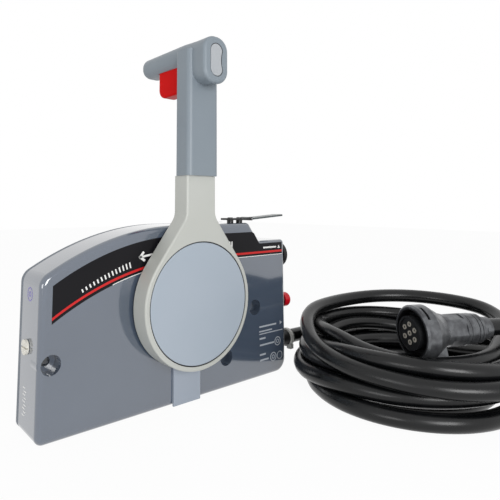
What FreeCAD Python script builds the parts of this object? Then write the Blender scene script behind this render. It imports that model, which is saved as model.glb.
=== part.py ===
import FreeCAD, Part
import math
import os
import Sketcher
from FreeCAD import Placement, Rotation, Vector

# Boat throttle control: side-mount box with an upright lever, in millimetres.
# X runs aft along the box, Y runs back from the face, Z is up. The lever turns about the line
# x = 0, z = hub_height, and y = 0 is the middle of the box's depth.

doc = FreeCAD.newDocument("throttle_control")

SIZES = {
    # housing outline
    "box_front_end": 128.5,
    "box_aft_end": 128.0,
    "box_depth": 42.0,
    "plate_thickness": 5.0,
    "cover_wall": 3.0,
    "deck_height": "=step_height + deck_rise",
    "deck_rise": 18.3,
    "arch_start": 10.0,
    "arch_radius": 216.0,
    "deck_aft_end": 77.5,
    "step_start": 91.2,
    "step_height": "=hub_height + step_rise",
    "step_rise": 45.9,
    "face_edge_radius": 4.5,
    "front_top_corner": 11.0,
    "front_low_corner": 6.0,
    "aft_low_corner": 13.0,
    "aft_top_corner": 3.0,
    "deck_corner": 5.0,
    "step_corner": 6.0,
    # mounting holes
    "mount_front_along": 119.3,
    "mount_front_height": 54.3,
    "mount_aft_along": 83.6,
    "mount_aft_height": 67.9,
    "mount_low_along": 46.4,
    "mount_low_height": 27.6,
    "mount_bore": 3.5,
    "mount_recess": 7.3,
    "mount_recess_depth": 12.0,
    "mount_boss": 9.5,
    "mount_boss_inner": 6.0,
    # centre strip
    "strip_half_width": 14.0,
    "strip_proud": 2.6,
    "strip_top": 52.0,
    "strip_gap": 0.8,
    # hub, neck and tang of the lever
    "hub_height": 86.0,
    "hub_radius": 55.0,
    "hub_gap": 3.6,
    "lever_front": 21.5,
    "hub_rim": 4.5,
    "hub_web": 2.5,
    "hub_edge": 1.6,
    "cap_radius": 50.2,
    "cap_gap": 0.9,
    "cap_thickness": 2.5,
    "stem_half_width": 15.5,
    "stem_depth": 17.9,
    "neck_flare_height": "=hub_height + hub_radius + neck_flare_rise",
    "neck_flare_rise": 17.0,
    "grip_bottom": 193.0,
    "tang_half_width": 12.0,
    "tang_half_depth": 6.0,
    "tang_top": 262.0,
    "tang_clearance": 0.15,
    # grip
    "grip_half_width": 16.6,
    "grip_proud": 3.2,
    "grip_depth": 20.9,
    "grip_edge": 4.6,
    "head_front": 62.7,
    "head_back": 42.0,
    "head_nose_width": 26.8,
    "head_nose_height": 41.5,
    "head_nose_middle": 291.0,
    "head_tail_width": 24.0,
    "head_tail_height": 19.6,
    "head_tail_middle": 303.0,
    "head_tail_edge": 7.0,
    "head_nose_edge": 3.0,
    "end_plate_width": 12.6,
    "end_plate_height": 28.0,
    "end_plate_thickness": 2.4,
    "end_plate_gap": 0.6,
    # neutral lock
    "trigger_half_width": 7.0,
    "trigger_back": 16.0,
    "trigger_bottom": 268.7,
    "trigger_top": 296.0,
    "trigger_corner": 9.0,
    "trigger_clearance": 0.5,
    "trigger_travel": 6.0,
    "trigger_arm_half_width": 4.0,
    "trigger_arm_bottom": 274.0,
    "rod_radius": 2.0,
    "rod_clearance": 0.4,
    "rod_collar_radius": 3.8,
    "rod_collar_height": 208.0,
    "rod_collar_length": 3.0,
    "spring_bore": 4.2,
    "spring_top": 240.0,
    "spring_wire": 0.9,
    "rod_end_gap": 0.4,
    "lock_ring_radius": 24.0,
    "lock_ring_bore": 16.5,
    "lock_ring_thickness": 6.5,
    "lock_neck_radius": 20.0,
    "lock_flange_radius": 23.5,
    "lock_flange_thickness": 2.2,
    "lock_notch_width": 5.0,
    "lock_notch_depth": 3.5,
    # shaft and bushes
    "shaft_radius": 6.0,
    "running_clearance": 0.04,
    "bush_radius": 10.0,
    "bush_flange_radius": 13.0,
    "bush_flange": 1.6,
    "hub_boss_radius": 12.0,
    "face_clearance": 0.3,
    "key_width": 3.0,
    "retainer_thickness": 1.1,
    "lever_screw_head": 5.5,
    "lever_screw_shank": 2.5,
    "screw_recess_depth": 3.5,
    "washer_radius": 8.0,
    "washer_thickness": 1.2,
    # gears
    "gear_module": 2.0,
    "drive_teeth": 16.0,
    "sector_teeth": 32.0,
    "sector_kept_teeth": 9.0,
    "gear_backlash": 0.35,
    "gear_side_gap": 1.2,
    "drive_front": 9.0,
    "drive_back": 7.0,
    "sector_thickness": 6.0,
    "throttle_level": 3.0,
    "shift_level": 6.0,
    "stud_radius": 4.0,
    "stud_shoulder": 6.5,
    "sector_arm_length": 25.0,
    "sector_arm_half_width": 5.0,
    "cable_pin_radius": 2.0,
    "cable_pin_length": 9.0,
    "friction_drum": 20.0,
    # neutral detent
    "detent_radius": 22.0,
    "detent_thickness": 3.5,
    "detent_ball": 4.0,
    "detent_step_angle": 32.0,
    "detent_spring_length": 13.0,
    # aft end controls
    "key_height": 115.6,
    "switch_level": 7.5,
    "key_barrel": 9.0,
    "key_thread": 9.8,
    "key_nut": 13.0,
    "key_nut_thickness": 4.5,
    "key_nose": 5.5,
    "key_inside": 34.0,
    "key_rotor": 6.6,
    "stop_height": 67.0,
    "stop_barrel": 7.6,
    "stop_nut": 9.8,
    "stop_nut_thickness": 3.0,
    "stop_barrel_out": 3.4,
    "stop_inside": 24.0,
    "stop_button": 7.4,
    "stop_stem": 3.2,
    "stop_cap_length": 9.2,
    "stop_travel": 4.0,
    "port_low": 44.0,
    "port_high": 88.0,
    "port_level": 7.0,
    "port_radius": 6.0,
    "port_bore": 4.0,
    # fast idle lever
    "idle_front": 16.5,
    "idle_width": 14.5,
    "idle_bracket_start": 56.0,
    "idle_bracket_thickness": 1.8,
    "idle_bracket_rise": 2.9,
    "idle_hinge_along": 84.6,
    "idle_pin": 0.8,
    "idle_knuckle": 1.7,
    "idle_blade_end": 132.0,
    "idle_blade_thickness": 1.7,
    "idle_blade_rise": 3.2,
    # friction screw
    "friction_height": "=mount_front_height + friction_rise",
    "friction_rise": 9.4,
    "friction_shank": 2.5,
    "friction_head": 5.5,
    "friction_head_length": 2.2,
    # harness
    "harness_height": 27.0,
    "harness_radius": 7.0,
    "boot_radius": 8.2,
    "boot_length": 22.0,
    "tie_width": 3.6,
    "tie_wall": 1.1,
    "coil_along": 200.0,
    "coil_out": 118.0,
    "coil_outer": 112.0,
    "coil_inner": 62.0,
    "coil_height": 38.0,
    "coil_edge": 6.0,
    "loop_along": 193.5,
    "loop_out": 131.3,
    "loop_radius": 103.0,
    "loop_height": 47.0,
    "loop_tilt": 9.3,
    # connector
    "plug_along": 128.3,
    "plug_out": 158.0,
    "plug_height": 63.4,
    "plug_yaw": -25.25,
    "collar_radius": 22.0,
    "collar_wall": 2.4,
    "collar_length": 11.5,
    "collar_taper": 15.5,
    "collar_key_reach": 24.2,
    "insert_radius": 13.6,
    "insert_proud": 2.5,
    "insert_lining": 1.1,
    "socket_radius": 2.0,
    "socket_ring": 7.2,
    "plug_body_radius": 13.0,
    "plug_body_length": 21.5,
    "plug_tail_length": 25.5,
}


def fill_sheet():
    """Write the driving dimensions into the spreadsheet."""
    table = doc.addObject("Spreadsheet::Sheet", "Sizes")
    for row, (alias, value) in enumerate(SIZES.items(), start=1):
        table.set(f"A{row}", alias)
        table.set(f"B{row}", str(value))
        table.setAlias(f"B{row}", alias)
    return table


sheet = fill_sheet()
doc.recompute()
parts = []


class Values:
    """Reads a driving dimension by its alias."""

    def __getattr__(self, alias):
        return float(sheet.get(alias))


size = Values()

# Stations worked out from the driving dimensions
face = -size.box_depth / 2
back = size.box_depth / 2
seam = back - size.plate_thickness
lever_face = face - size.lever_front
stem_middle = lever_face + size.stem_depth / 2
grip_face = lever_face - size.grip_proud
grip_back = grip_face + size.grip_depth
aft = size.box_aft_end
FACE = "-Sizes.box_depth / 2"
BACK = "Sizes.box_depth / 2"
SEAM = "Sizes.box_depth / 2 - Sizes.plate_thickness"


def keep(obj, label):
    """Name a finished sub-part and remember it for export."""
    obj.Label = label
    parts.append(obj)
    return obj


def bind(obj, **expressions):
    """Bind properties of an object to expressions of the sheet."""
    for prop, expression in expressions.items():
        obj.setExpression(prop.replace("__", "."), expression)
    return obj


def place(obj, at):
    """Bind an object's base point to three expressions."""
    for axis, expression in zip("xyz", at):
        obj.setExpression(f"Placement.Base.{axis}", str(expression))
    return obj


TURN = {
    "X": Rotation(Vector(0, 1, 0), 90),
    "Y": Rotation(Vector(1, 0, 0), -90),
    "Z": Rotation(),
}


def cylinder(name, radius, height, at, axis="Y"):
    """Cylinder that starts at a point and runs along a positive row axis."""
    obj = doc.addObject("Part::Cylinder", name)
    obj.Placement = Placement(Vector(), TURN[axis])
    bind(obj, Radius=str(radius), Height=str(height))
    return place(obj, at)


def cone(name, start, end, height, at, axis="Y"):
    """Cone frustum from one radius to another along a positive row axis."""
    obj = doc.addObject("Part::Cone", name)
    obj.Placement = Placement(Vector(), TURN[axis])
    bind(obj, Radius1=str(start), Radius2=str(end), Height=str(height))
    return place(obj, at)


def block(name, lengths, at):
    """Box with its low corner at a point."""
    obj = doc.addObject("Part::Box", name)
    for prop, expression in zip(("Length", "Width", "Height"), lengths):
        obj.setExpression(prop, str(expression))
    return place(obj, at)


def fuse(name, pieces):
    """Join solids of one sub-part."""
    obj = doc.addObject("Part::MultiFuse", name)
    obj.Shapes = pieces
    obj.Refine = True
    return obj


def cut(name, base, tools):
    """Take tools away from a base."""
    tool = tools[0] if len(tools) == 1 else fuse(name + "_tools", tools)
    obj = doc.addObject("Part::Cut", name)
    obj.Base = base
    obj.Tool = tool
    return obj


def edges_where(shape, test):
    """Numbers of the edges that pass a test."""
    return [i for i, edge in enumerate(shape.Edges, start=1) if test(edge)]


def round_edges(name, base, radius, test, kind="Part::Fillet"):
    """Fillet or chamfer the edges of a base that pass a test."""
    doc.recompute()
    obj = doc.addObject(kind, name)
    obj.Base = base
    obj.Edges = [(i, radius, radius) for i in edges_where(base.Shape, test)]
    return obj


def along(edge, axis):
    """True for a straight edge that runs along a row axis."""
    if not isinstance(edge.Curve, Part.Line):
        return False
    return abs(edge.Curve.Direction.dot(axis)) > 0.999


def at_level(edge, axis, level):
    """True for an edge whose points all lie at a level along an axis."""
    box = edge.BoundBox
    low = {"x": box.XMin, "y": box.YMin, "z": box.ZMin}[axis]
    high = {"x": box.XMax, "y": box.YMax, "z": box.ZMax}[axis]
    return abs(low - level) < 0.02 and abs(high - level) < 0.02


def near(edge, x, z, reach=0.5):
    """True for an edge that runs along Y at a given x and z."""
    middle = edge.CenterOfMass
    return along(edge, Vector(0, 1, 0)) and math.hypot(middle.x - x, middle.z - z) < reach


# Sketching helpers: on the XZ plane a sketch looks along +Y from the front

def body_plane(body, role):
    """Origin plane of a body by its role."""
    return next(o for o in body.Origin.OriginFeatures if o.Role == role)


def sketch(body, name, plane, offset, edges):
    """Sketch of ready edges on an origin plane of its own body."""
    obj = body.newObject("Sketcher::SketchObject", name)
    obj.AttachmentSupport = [(body_plane(body, plane), "")]
    obj.MapMode = "FlatFace"
    obj.setExpression("AttachmentOffset.Base.z", str(offset))
    obj.addGeometry(edges, False)
    return obj


def circles(body, name, plane, offset, rounds):
    """Sketch of circles whose centres and radii are bound to the sheet."""
    obj = sketch(body, name, plane, offset, [])
    for i, (across, up, radius) in enumerate(rounds):
        obj.addGeometry(Part.Circle(Vector(i, i, 0), Vector(0, 0, 1), 1.0), False)
        for kind, value in (("DistanceX", across), ("DistanceY", up)):
            number = obj.addConstraint(Sketcher.Constraint(kind, -1, 1, i, 3, 1.0))
            obj.setExpression(f"Constraints[{number}]", str(value))
        number = obj.addConstraint(Sketcher.Constraint("Radius", i, 1.0))
        obj.setExpression(f"Constraints[{number}]", str(radius))
    return obj


def swept(body, kind, name, profile, length, backwards=False):
    """Pad or Pocket of a profile, its length bound to the sheet."""
    obj = body.newObject("PartDesign::" + kind, name)
    obj.Profile = profile
    obj.setExpression("Length", str(length))
    obj.Reversed = backwards
    return obj


def dress(body, kind, name, base, prop, amount, test):
    """Fillet or Chamfer of the edges of a feature that pass a test."""
    doc.recompute()
    obj = body.newObject("PartDesign::" + kind, name)
    obj.Base = (base, [f"Edge{i}" for i in edges_where(base.Shape, test)])
    obj.setExpression(prop, str(amount))
    return obj


def arch_height(along_x, inset=0.0):
    """Height of the arched top at a place left of the level deck."""
    radius = size.arch_radius - inset
    reach = along_x + size.arch_start
    return size.deck_height - size.arch_radius + math.sqrt(radius ** 2 - reach ** 2)


def housing_edges(inset=0.0):
    """Outline of the box, seen from the front, set in by an amount."""
    left = -size.box_front_end + inset
    right = aft - inset
    bottom = inset
    deck = size.deck_height - inset
    step = size.step_height - inset
    slope = Vector(size.step_start - size.deck_aft_end, 0, size.step_height - size.deck_height)
    slope.normalize()
    shift = inset * (1 - slope.x) / -slope.z
    deck_end = Vector(size.deck_aft_end - shift, deck)
    step_end = Vector(size.step_start - shift, step)
    arch_left = Vector(left, arch_height(left, inset))
    middle_x = (left - size.arch_start) / 2
    points = [Vector(left, bottom), Vector(right, bottom), Vector(right, step), step_end, deck_end,
              Vector(-size.arch_start, deck)]
    edges = [Part.LineSegment(a, b) for a, b in zip(points, points[1:])]
    edges.append(Part.Arc(points[-1], Vector(middle_x, arch_height(middle_x, inset)), arch_left))
    edges.append(Part.LineSegment(arch_left, points[0]))
    return edges


MOUNTS = {
    "front": ("-Sizes.mount_front_along", "Sizes.mount_front_height"),
    "aft": ("Sizes.mount_aft_along", "Sizes.mount_aft_height"),
    "low": ("Sizes.mount_low_along", "Sizes.mount_low_height"),
}
HOUSING_SCREWS = [(-104.0, 102.0), (-100.0, 14.0), (-34.0, 11.0), (84.0, 13.0), (66.0, 128.0)]
SCREW_BOSS = 4.6
SCREW_SHANK = 1.9
SCREW_HOLE = 1.95
SCREW_HEAD = 3.6
SCREW_HEAD_DEPTH = 2.4


def cover_bosses(body):
    """Mounting bosses and screw bosses that stand on the inside of the face."""
    depth = "Sizes.box_depth - Sizes.plate_thickness - Sizes.cover_wall"
    inner = [(x, z, "Sizes.mount_boss_inner") for x, z in MOUNTS.values()]
    swept(body, "Pad", "mount_bosses", circles(body, "mount_boss_rings", "XZ_Plane",
          "-(" + SEAM + ")", inner), depth)
    outer = [(x, z, "Sizes.mount_boss") for x, z in MOUNTS.values()]
    swept(body, "Pad", "recess_bosses", circles(body, "recess_boss_rings", "XZ_Plane",
          "Sizes.box_depth / 2 - Sizes.mount_recess_depth - Sizes.cover_wall", outer),
          "Sizes.mount_recess_depth")
    screws = [(x, z, SCREW_BOSS) for x, z in HOUSING_SCREWS]
    swept(body, "Pad", "screw_bosses", circles(body, "screw_boss_rings", "XZ_Plane",
          "-(" + SEAM + ")", screws), depth)
    collar = [("0", "Sizes.hub_height", "Sizes.bush_radius + Sizes.cover_wall")]
    swept(body, "Pad", "shaft_boss", circles(body, "shaft_boss_ring", "XZ_Plane",
          "Sizes.drive_front + Sizes.gear_side_gap", collar),
          "Sizes.box_depth / 2 - Sizes.drive_front - Sizes.gear_side_gap - 0.5")


def cover_holes(body):
    """Holes of the face and of both ends."""
    through = [(x, z, "Sizes.mount_bore") for x, z in MOUNTS.values()]
    through.append(("0", "Sizes.hub_height", "Sizes.bush_radius"))
    swept(body, "Pocket", "face_holes", circles(body, "face_hole_rings", "XZ_Plane",
          "Sizes.box_depth / 2", through), "Sizes.box_depth")
    recess = [(x, z, "Sizes.mount_recess") for x, z in MOUNTS.values()]
    swept(body, "Pocket", "recesses", circles(body, "recess_rings", "XZ_Plane",
          "Sizes.box_depth / 2", recess), "Sizes.mount_recess_depth")
    screws = [(x, z, SCREW_HOLE) for x, z in HOUSING_SCREWS]
    swept(body, "Pocket", "screw_holes", circles(body, "screw_hole_rings", "XZ_Plane",
          "-(" + SEAM + ")", screws), 16, True)
    ends = [
        ("-Sizes.switch_level", "Sizes.key_height", "Sizes.key_thread"),
        ("-Sizes.switch_level", "Sizes.stop_height", "Sizes.stop_barrel"),
        ("-Sizes.switch_level", "Sizes.harness_height", "Sizes.harness_radius"),
        ("Sizes.port_level", "Sizes.port_low", "Sizes.port_radius"),
        ("Sizes.port_level", "Sizes.port_high", "Sizes.port_radius"),
    ]
    swept(body, "Pocket", "aft_holes", circles(body, "aft_hole_rings", "YZ_Plane",
          "Sizes.box_aft_end", ends), "Sizes.cover_wall + 1")
    front = [("Sizes.throttle_level", "Sizes.friction_height", "Sizes.friction_shank + 0.3")]
    swept(body, "Pocket", "friction_hole", circles(body, "friction_hole_ring", "YZ_Plane",
          "-Sizes.box_front_end", front), "Sizes.cover_wall + 1", True)


def corner_edges(body, base, prefix, inset=0.0):
    """Round the corners of the outline, each with its own radius."""
    corners = [
        ("front_low_corner", -size.box_front_end + inset, inset),
        ("aft_low_corner", aft - inset, inset),
        ("aft_top_corner", aft - inset, size.step_height - inset),
        ("step_corner", size.step_start, size.step_height),
        ("deck_corner", size.deck_aft_end, size.deck_height),
        ("front_top_corner", -size.box_front_end + inset, arch_height(-size.box_front_end)),
    ]
    for alias, x, z in corners:
        base = dress(body, "Fillet", prefix + alias, base, "Radius", "Sizes." + alias,
                     lambda e, x=x, z=z: near(e, x, z))
    return base


def front_cover():
    """Moulded shell with arched top, stepped aft end and bosses inside."""
    body = doc.addObject("PartDesign::Body", "cover_body")
    outline = sketch(body, "cover_outline", "XZ_Plane", "-(" + SEAM + ")", housing_edges())
    shell = swept(body, "Pad", "cover_block", outline, "Sizes.box_depth - Sizes.plate_thickness")
    shell = corner_edges(body, shell, "cover_")
    shell = dress(body, "Fillet", "face_edge", shell, "Radius", "Sizes.face_edge_radius",
                  lambda e: at_level(e, "y", face))
    hollow = sketch(body, "hollow_outline", "XZ_Plane", "-(" + SEAM + ")",
                    housing_edges(size.cover_wall))
    swept(body, "Pocket", "hollow", hollow,
          "Sizes.box_depth - Sizes.plate_thickness - Sizes.cover_wall", True)
    cover_bosses(body)
    cover_holes(body)
    return keep(body, "front_cover")


def back_plate():
    """Flat plate behind the seam, with counterbored screw holes and the mounting holes."""
    body = doc.addObject("PartDesign::Body", "plate_body")
    outline = sketch(body, "plate_outline", "XZ_Plane", "-(" + BACK + ")", housing_edges())
    plate = swept(body, "Pad", "plate_block", outline, "Sizes.plate_thickness")
    corner_edges(body, plate, "plate_")
    through = [(x, z, "Sizes.mount_bore") for x, z in MOUNTS.values()]
    through += [(x, z, SCREW_HOLE) for x, z in HOUSING_SCREWS]
    through.append(("0", "Sizes.hub_height", "Sizes.bush_radius"))
    for x, z in stud_places():
        through.append((x, z, "Sizes.stud_radius"))
    swept(body, "Pocket", "plate_holes", circles(body, "plate_hole_rings", "XZ_Plane",
          "-(" + SEAM + ")", through), "Sizes.plate_thickness")
    heads = [(x, z, SCREW_HEAD + 0.3) for x, z in HOUSING_SCREWS]
    swept(body, "Pocket", "head_recesses", circles(body, "head_recess_rings", "XZ_Plane",
          "-(" + BACK + ")", heads), SCREW_HEAD_DEPTH, True)
    return keep(body, "back_plate")


def housing_screws():
    """Five screws that hold the plate to the bosses of the cover."""
    pieces = []
    for i, (x, z) in enumerate(HOUSING_SCREWS):
        head = cylinder(f"housing_screw_head_{i}", SCREW_HEAD, SCREW_HEAD_DEPTH - 0.2,
                        (x, f"{BACK} - {SCREW_HEAD_DEPTH}", z))
        shank = cylinder(f"housing_screw_shank_{i}", SCREW_SHANK, "Sizes.plate_thickness + 8",
                         (x, f"{BACK} - Sizes.plate_thickness - 10", z))
        pieces.append(fuse(f"housing_screw_{i}", [head, shank]))
    return keep(fuse("housing_screw_set", pieces), "housing_screws")


def centre_strip():
    """Pale strip down the middle of the face, its top end under the hub."""
    bar = block("strip_bar", ("2 * Sizes.strip_half_width", "Sizes.strip_proud", "Sizes.strip_top"),
                ("-Sizes.strip_half_width", f"{FACE} - Sizes.strip_proud", "0"))
    soft = round_edges("strip_soft", bar, size.strip_gap,
                       lambda e: at_level(e, "y", face - size.strip_proud))
    return keep(soft, "centre_strip")


# Lever: hub, neck, tang, cap, grip and what is inside them

def tangent_point():
    """Place where the flare of the neck touches the hub's circle, right of the axis."""
    x, z = size.stem_half_width, size.neck_flare_height - size.hub_height
    reach = math.hypot(x, z)
    turn = math.acos(size.hub_radius / reach)
    direction = math.atan2(z, x) - turn
    return Vector(size.hub_radius * math.cos(direction),
                  size.hub_height + size.hub_radius * math.sin(direction))


def lever_edges():
    """Outline of the casting: round hub, flared neck and straight upper neck."""
    touch = tangent_point()
    mirror = Vector(-touch.x, touch.y)
    half = size.stem_half_width
    flare = size.neck_flare_height
    top = size.grip_bottom
    low = Vector(0, size.hub_height - size.hub_radius)
    return [
        Part.Arc(mirror, low, touch),
        Part.LineSegment(touch, Vector(half, flare)),
        Part.LineSegment(Vector(half, flare), Vector(half, top)),
        Part.LineSegment(Vector(half, top), Vector(-half, top)),
        Part.LineSegment(Vector(-half, top), Vector(-half, flare)),
        Part.LineSegment(Vector(-half, flare), mirror),
    ]


def rectangle(low_x, low_z, high_x, high_z):
    """Four straight edges."""
    points = [Vector(low_x, low_z), Vector(high_x, low_z), Vector(high_x, high_z),
              Vector(low_x, high_z)]
    return [Part.LineSegment(a, b) for a, b in zip(points, points[1:] + points[:1])]


LEVER_FACE = "-Sizes.box_depth / 2 - Sizes.lever_front"
STEM_MIDDLE = LEVER_FACE + " + Sizes.stem_depth / 2"


def control_lever():
    """Casting with the hub's cavity behind, the cap's seat in front and a tang on top."""
    body = doc.addObject("PartDesign::Body", "lever_body")
    hub = "Sizes.lever_front - Sizes.hub_gap"
    outline = sketch(body, "lever_outline", "XZ_Plane",
                     "Sizes.box_depth / 2 + Sizes.lever_front - Sizes.stem_depth", lever_edges())
    swept(body, "Pad", "neck", outline, "Sizes.stem_depth")
    swept(body, "Pad", "hub_disc", circles(body, "hub_ring", "XZ_Plane",
          "Sizes.box_depth / 2 + Sizes.hub_gap", [("0", "Sizes.hub_height", "Sizes.hub_radius")]), hub)
    tang = sketch(body, "tang_outline", "XZ_Plane",
                  "Sizes.box_depth / 2 + Sizes.lever_front - Sizes.stem_depth / 2 - Sizes.tang_half_depth",
                  rectangle(-size.tang_half_width, size.grip_bottom - 1.0,
                            size.tang_half_width, size.tang_top))
    last = swept(body, "Pad", "tang", tang, "2 * Sizes.tang_half_depth")
    half = size.stem_half_width
    front = lever_face
    last = dress(body, "Fillet", "neck_waist", last, "Radius", "Sizes.stem_half_width",
                 lambda e: near(e, half, size.neck_flare_height)
                 or near(e, -half, size.neck_flare_height))
    last = dress(body, "Fillet", "lever_edge", last, "Radius", "Sizes.hub_edge",
                 lambda e: at_level(e, "y", front) and e.BoundBox.ZMax < size.grip_bottom - 0.1
                 or (at_level(e, "y", front) and along(e, Vector(0, 0, 1))))
    swept(body, "Pocket", "cap_recess", circles(body, "cap_recess_ring", "XZ_Plane",
          "Sizes.box_depth / 2 + Sizes.lever_front",
          [("0", "Sizes.hub_height", "Sizes.cap_radius + Sizes.cap_gap")]), "Sizes.cap_thickness")
    swept(body, "Pocket", "hub_hollow", circles(body, "hub_hollow_rings", "XZ_Plane",
          "Sizes.box_depth / 2 + Sizes.hub_gap",
          [("0", "Sizes.hub_height", "Sizes.hub_radius - Sizes.hub_rim")]),
          "Sizes.lever_front - Sizes.hub_gap - Sizes.cap_thickness - Sizes.hub_web", True)
    swept(body, "Pad", "hub_boss", circles(body, "hub_boss_ring", "XZ_Plane",
          "Sizes.box_depth / 2 + Sizes.bush_flange + Sizes.face_clearance",
          [("0", "Sizes.hub_height", "Sizes.hub_boss_radius")]),
          "Sizes.lever_front - Sizes.cap_thickness - Sizes.bush_flange - Sizes.face_clearance - 1")
    swept(body, "Pocket", "shaft_bore", circles(body, "shaft_bore_ring", "XZ_Plane",
          "Sizes.box_depth / 2 + Sizes.lever_front",
          [("0", "Sizes.hub_height", "Sizes.shaft_radius")]), "Sizes.lever_front")
    swept(body, "Pocket", "screw_recess", circles(body, "screw_recess_ring", "XZ_Plane",
          "Sizes.box_depth / 2 + Sizes.lever_front",
          [("0", "Sizes.hub_height", "Sizes.washer_radius + Sizes.face_clearance")]),
          "Sizes.cap_thickness + Sizes.screw_recess_depth")
    rod = circles(body, "rod_bore_ring", "XY_Plane", "Sizes.tang_top",
                  [("0", STEM_MIDDLE, "Sizes.rod_radius + Sizes.rod_clearance")])
    swept(body, "Pocket", "rod_bore", rod, "Sizes.tang_top - Sizes.hub_height - Sizes.hub_radius + 6")
    spring = circles(body, "spring_bore_ring", "XY_Plane", "Sizes.spring_top",
                     [("0", STEM_MIDDLE, "Sizes.spring_bore")])
    swept(body, "Pocket", "spring_bore", spring, "Sizes.spring_top - Sizes.hub_height - Sizes.hub_radius + 6")
    return keep(body, "control_lever")


def rod_guide():
    """Plastic bush that guides the lock rod at the bottom of the neck."""
    at = ("0", STEM_MIDDLE, "Sizes.hub_height + Sizes.hub_radius - 3")
    outer = cylinder("rod_guide_outer", "Sizes.spring_bore", 12, at, "Z")
    inner = cylinder("rod_guide_inner", "Sizes.rod_radius + Sizes.running_clearance", 12, at, "Z")
    return keep(cut("rod_guide_bush", outer, [inner]), "rod_guide")


def hub_cap():
    """Flat round cap that fills the front of the hub."""
    disc = cylinder("cap_disc", "Sizes.cap_radius", "Sizes.cap_thickness",
                    ("0", LEVER_FACE, "Sizes.hub_height"))
    soft = round_edges("cap_soft", disc, 0.6, lambda e: at_level(e, "y", lever_face))
    return keep(soft, "hub_cap")


def ring(name, outer, inner, length, at, axis="Y"):
    """Plain ring that runs along a row axis."""
    outside = cylinder(name + "_outside", outer, length, at, axis)
    inside = cylinder(name + "_inside", inner, length, at, axis)
    return cut(name, outside, [inside])


SCREW_SEAT = LEVER_FACE + " + Sizes.cap_thickness + Sizes.screw_recess_depth"


def main_shaft():
    """Shaft with a tapped end for the lever screw, a keyway and a groove for its ring."""
    hub = "Sizes.hub_height"
    start = f"{SCREW_SEAT} + Sizes.face_clearance"
    rod = cylinder("shaft_rod", "Sizes.shaft_radius", f"{BACK} - 0.6 - ({start})", ("0", start, hub))
    hole = cylinder("shaft_screw_hole", "Sizes.lever_screw_shank + 0.05", 14, ("0", start, hub))
    keyway = block("shaft_keyway", ("Sizes.key_width", "Sizes.drive_front + Sizes.drive_back",
                   "Sizes.key_width"), ("-Sizes.key_width / 2", "-Sizes.drive_front",
                   "Sizes.hub_height + Sizes.shaft_radius - Sizes.key_width / 2"))
    groove = ring("shaft_groove", "Sizes.shaft_radius + 1", "Sizes.shaft_radius - 0.6",
                  "Sizes.retainer_thickness + 0.1", ("0", f"{BACK} - 2.2", hub))
    return keep(cut("shaft_cut", rod, [hole, keyway, groove]), "main_shaft")


def shaft_fixings():
    """Gear key, lever washer, lever screw and the ring that keeps the shaft in place."""
    hub = "Sizes.hub_height"
    key = block("gear_key_bar", ("Sizes.key_width", "Sizes.drive_front + Sizes.drive_back - 1",
                "Sizes.key_width"), ("-Sizes.key_width / 2", "-Sizes.drive_front + 0.5",
                "Sizes.hub_height + Sizes.shaft_radius - Sizes.key_width / 2"))
    keep(key, "gear_key")
    keep(ring("washer_disc", "Sizes.washer_radius", "Sizes.lever_screw_shank + 0.2",
              "Sizes.washer_thickness", ("0", f"{SCREW_SEAT} - Sizes.washer_thickness", hub)),
         "lever_washer")
    head_seat = f"{SCREW_SEAT} - Sizes.washer_thickness"
    head = cylinder("lever_screw_top", "Sizes.lever_screw_head", 2, ("0", f"{head_seat} - 2", hub))
    shank = cylinder("lever_screw_rod", "Sizes.lever_screw_shank", 13, ("0", head_seat, hub))
    slot = block("lever_screw_slot", ("2 * Sizes.lever_screw_head", 1, 1.4),
                 ("-Sizes.lever_screw_head", f"{head_seat} - 2", "Sizes.hub_height - 0.7"))
    keep(cut("lever_screw_cut", fuse("lever_screw_solid", [head, shank]), [slot]), "lever_screw")
    keep(ring("retainer_disc", "Sizes.shaft_radius + 2.6", "Sizes.shaft_radius - 0.6",
              "Sizes.retainer_thickness", ("0", f"{BACK} - 2.15", hub)), "shaft_retainer")


HEAD_ROUNDNESS = 0.46


def head_section(width, low, high):
    """Rounded outline of the grip head, the same count of edges at every station."""
    corner = HEAD_ROUNDNESS * min(width, high - low)
    half = width / 2
    edges = []
    middles = [(half - corner, low + corner, -90), (half - corner, high - corner, 0),
               (corner - half, high - corner, 90), (corner - half, low + corner, 180)]
    ends = []
    for x, z, start in middles:
        angles = [math.radians(start + a) for a in (0, 45, 90)]
        arc = [Vector(x + corner * math.cos(a), z + corner * math.sin(a)) for a in angles]
        ends.append((arc, Part.Arc(*arc)))
    for i, (arc, edge) in enumerate(ends):
        edges.append(edge)
        edges.append(Part.LineSegment(arc[2], ends[(i + 1) % 4][0][0]))
    return edges


def head_stations():
    """Depth, width, low and high of the head: nose, both faces of the stem, tail."""
    low_nose = size.head_nose_middle - size.head_nose_height / 2
    high_nose = size.head_nose_middle + size.head_nose_height / 2
    low_tail = size.head_tail_middle - size.head_tail_height / 2
    high_tail = size.head_tail_middle + size.head_tail_height / 2
    wide, slim = size.head_nose_width, size.head_tail_width
    return [
        (-size.head_front, wide, low_nose, high_nose),
        (grip_face + 2, (3 * wide + slim) / 4, low_nose + 2, (3 * high_nose + high_tail) / 4),
        (grip_back - 2, (wide + 2 * slim) / 3, low_tail - 1.6, (high_nose + 2 * high_tail) / 3),
        (size.head_back, slim, low_tail, high_tail),
    ]


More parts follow.
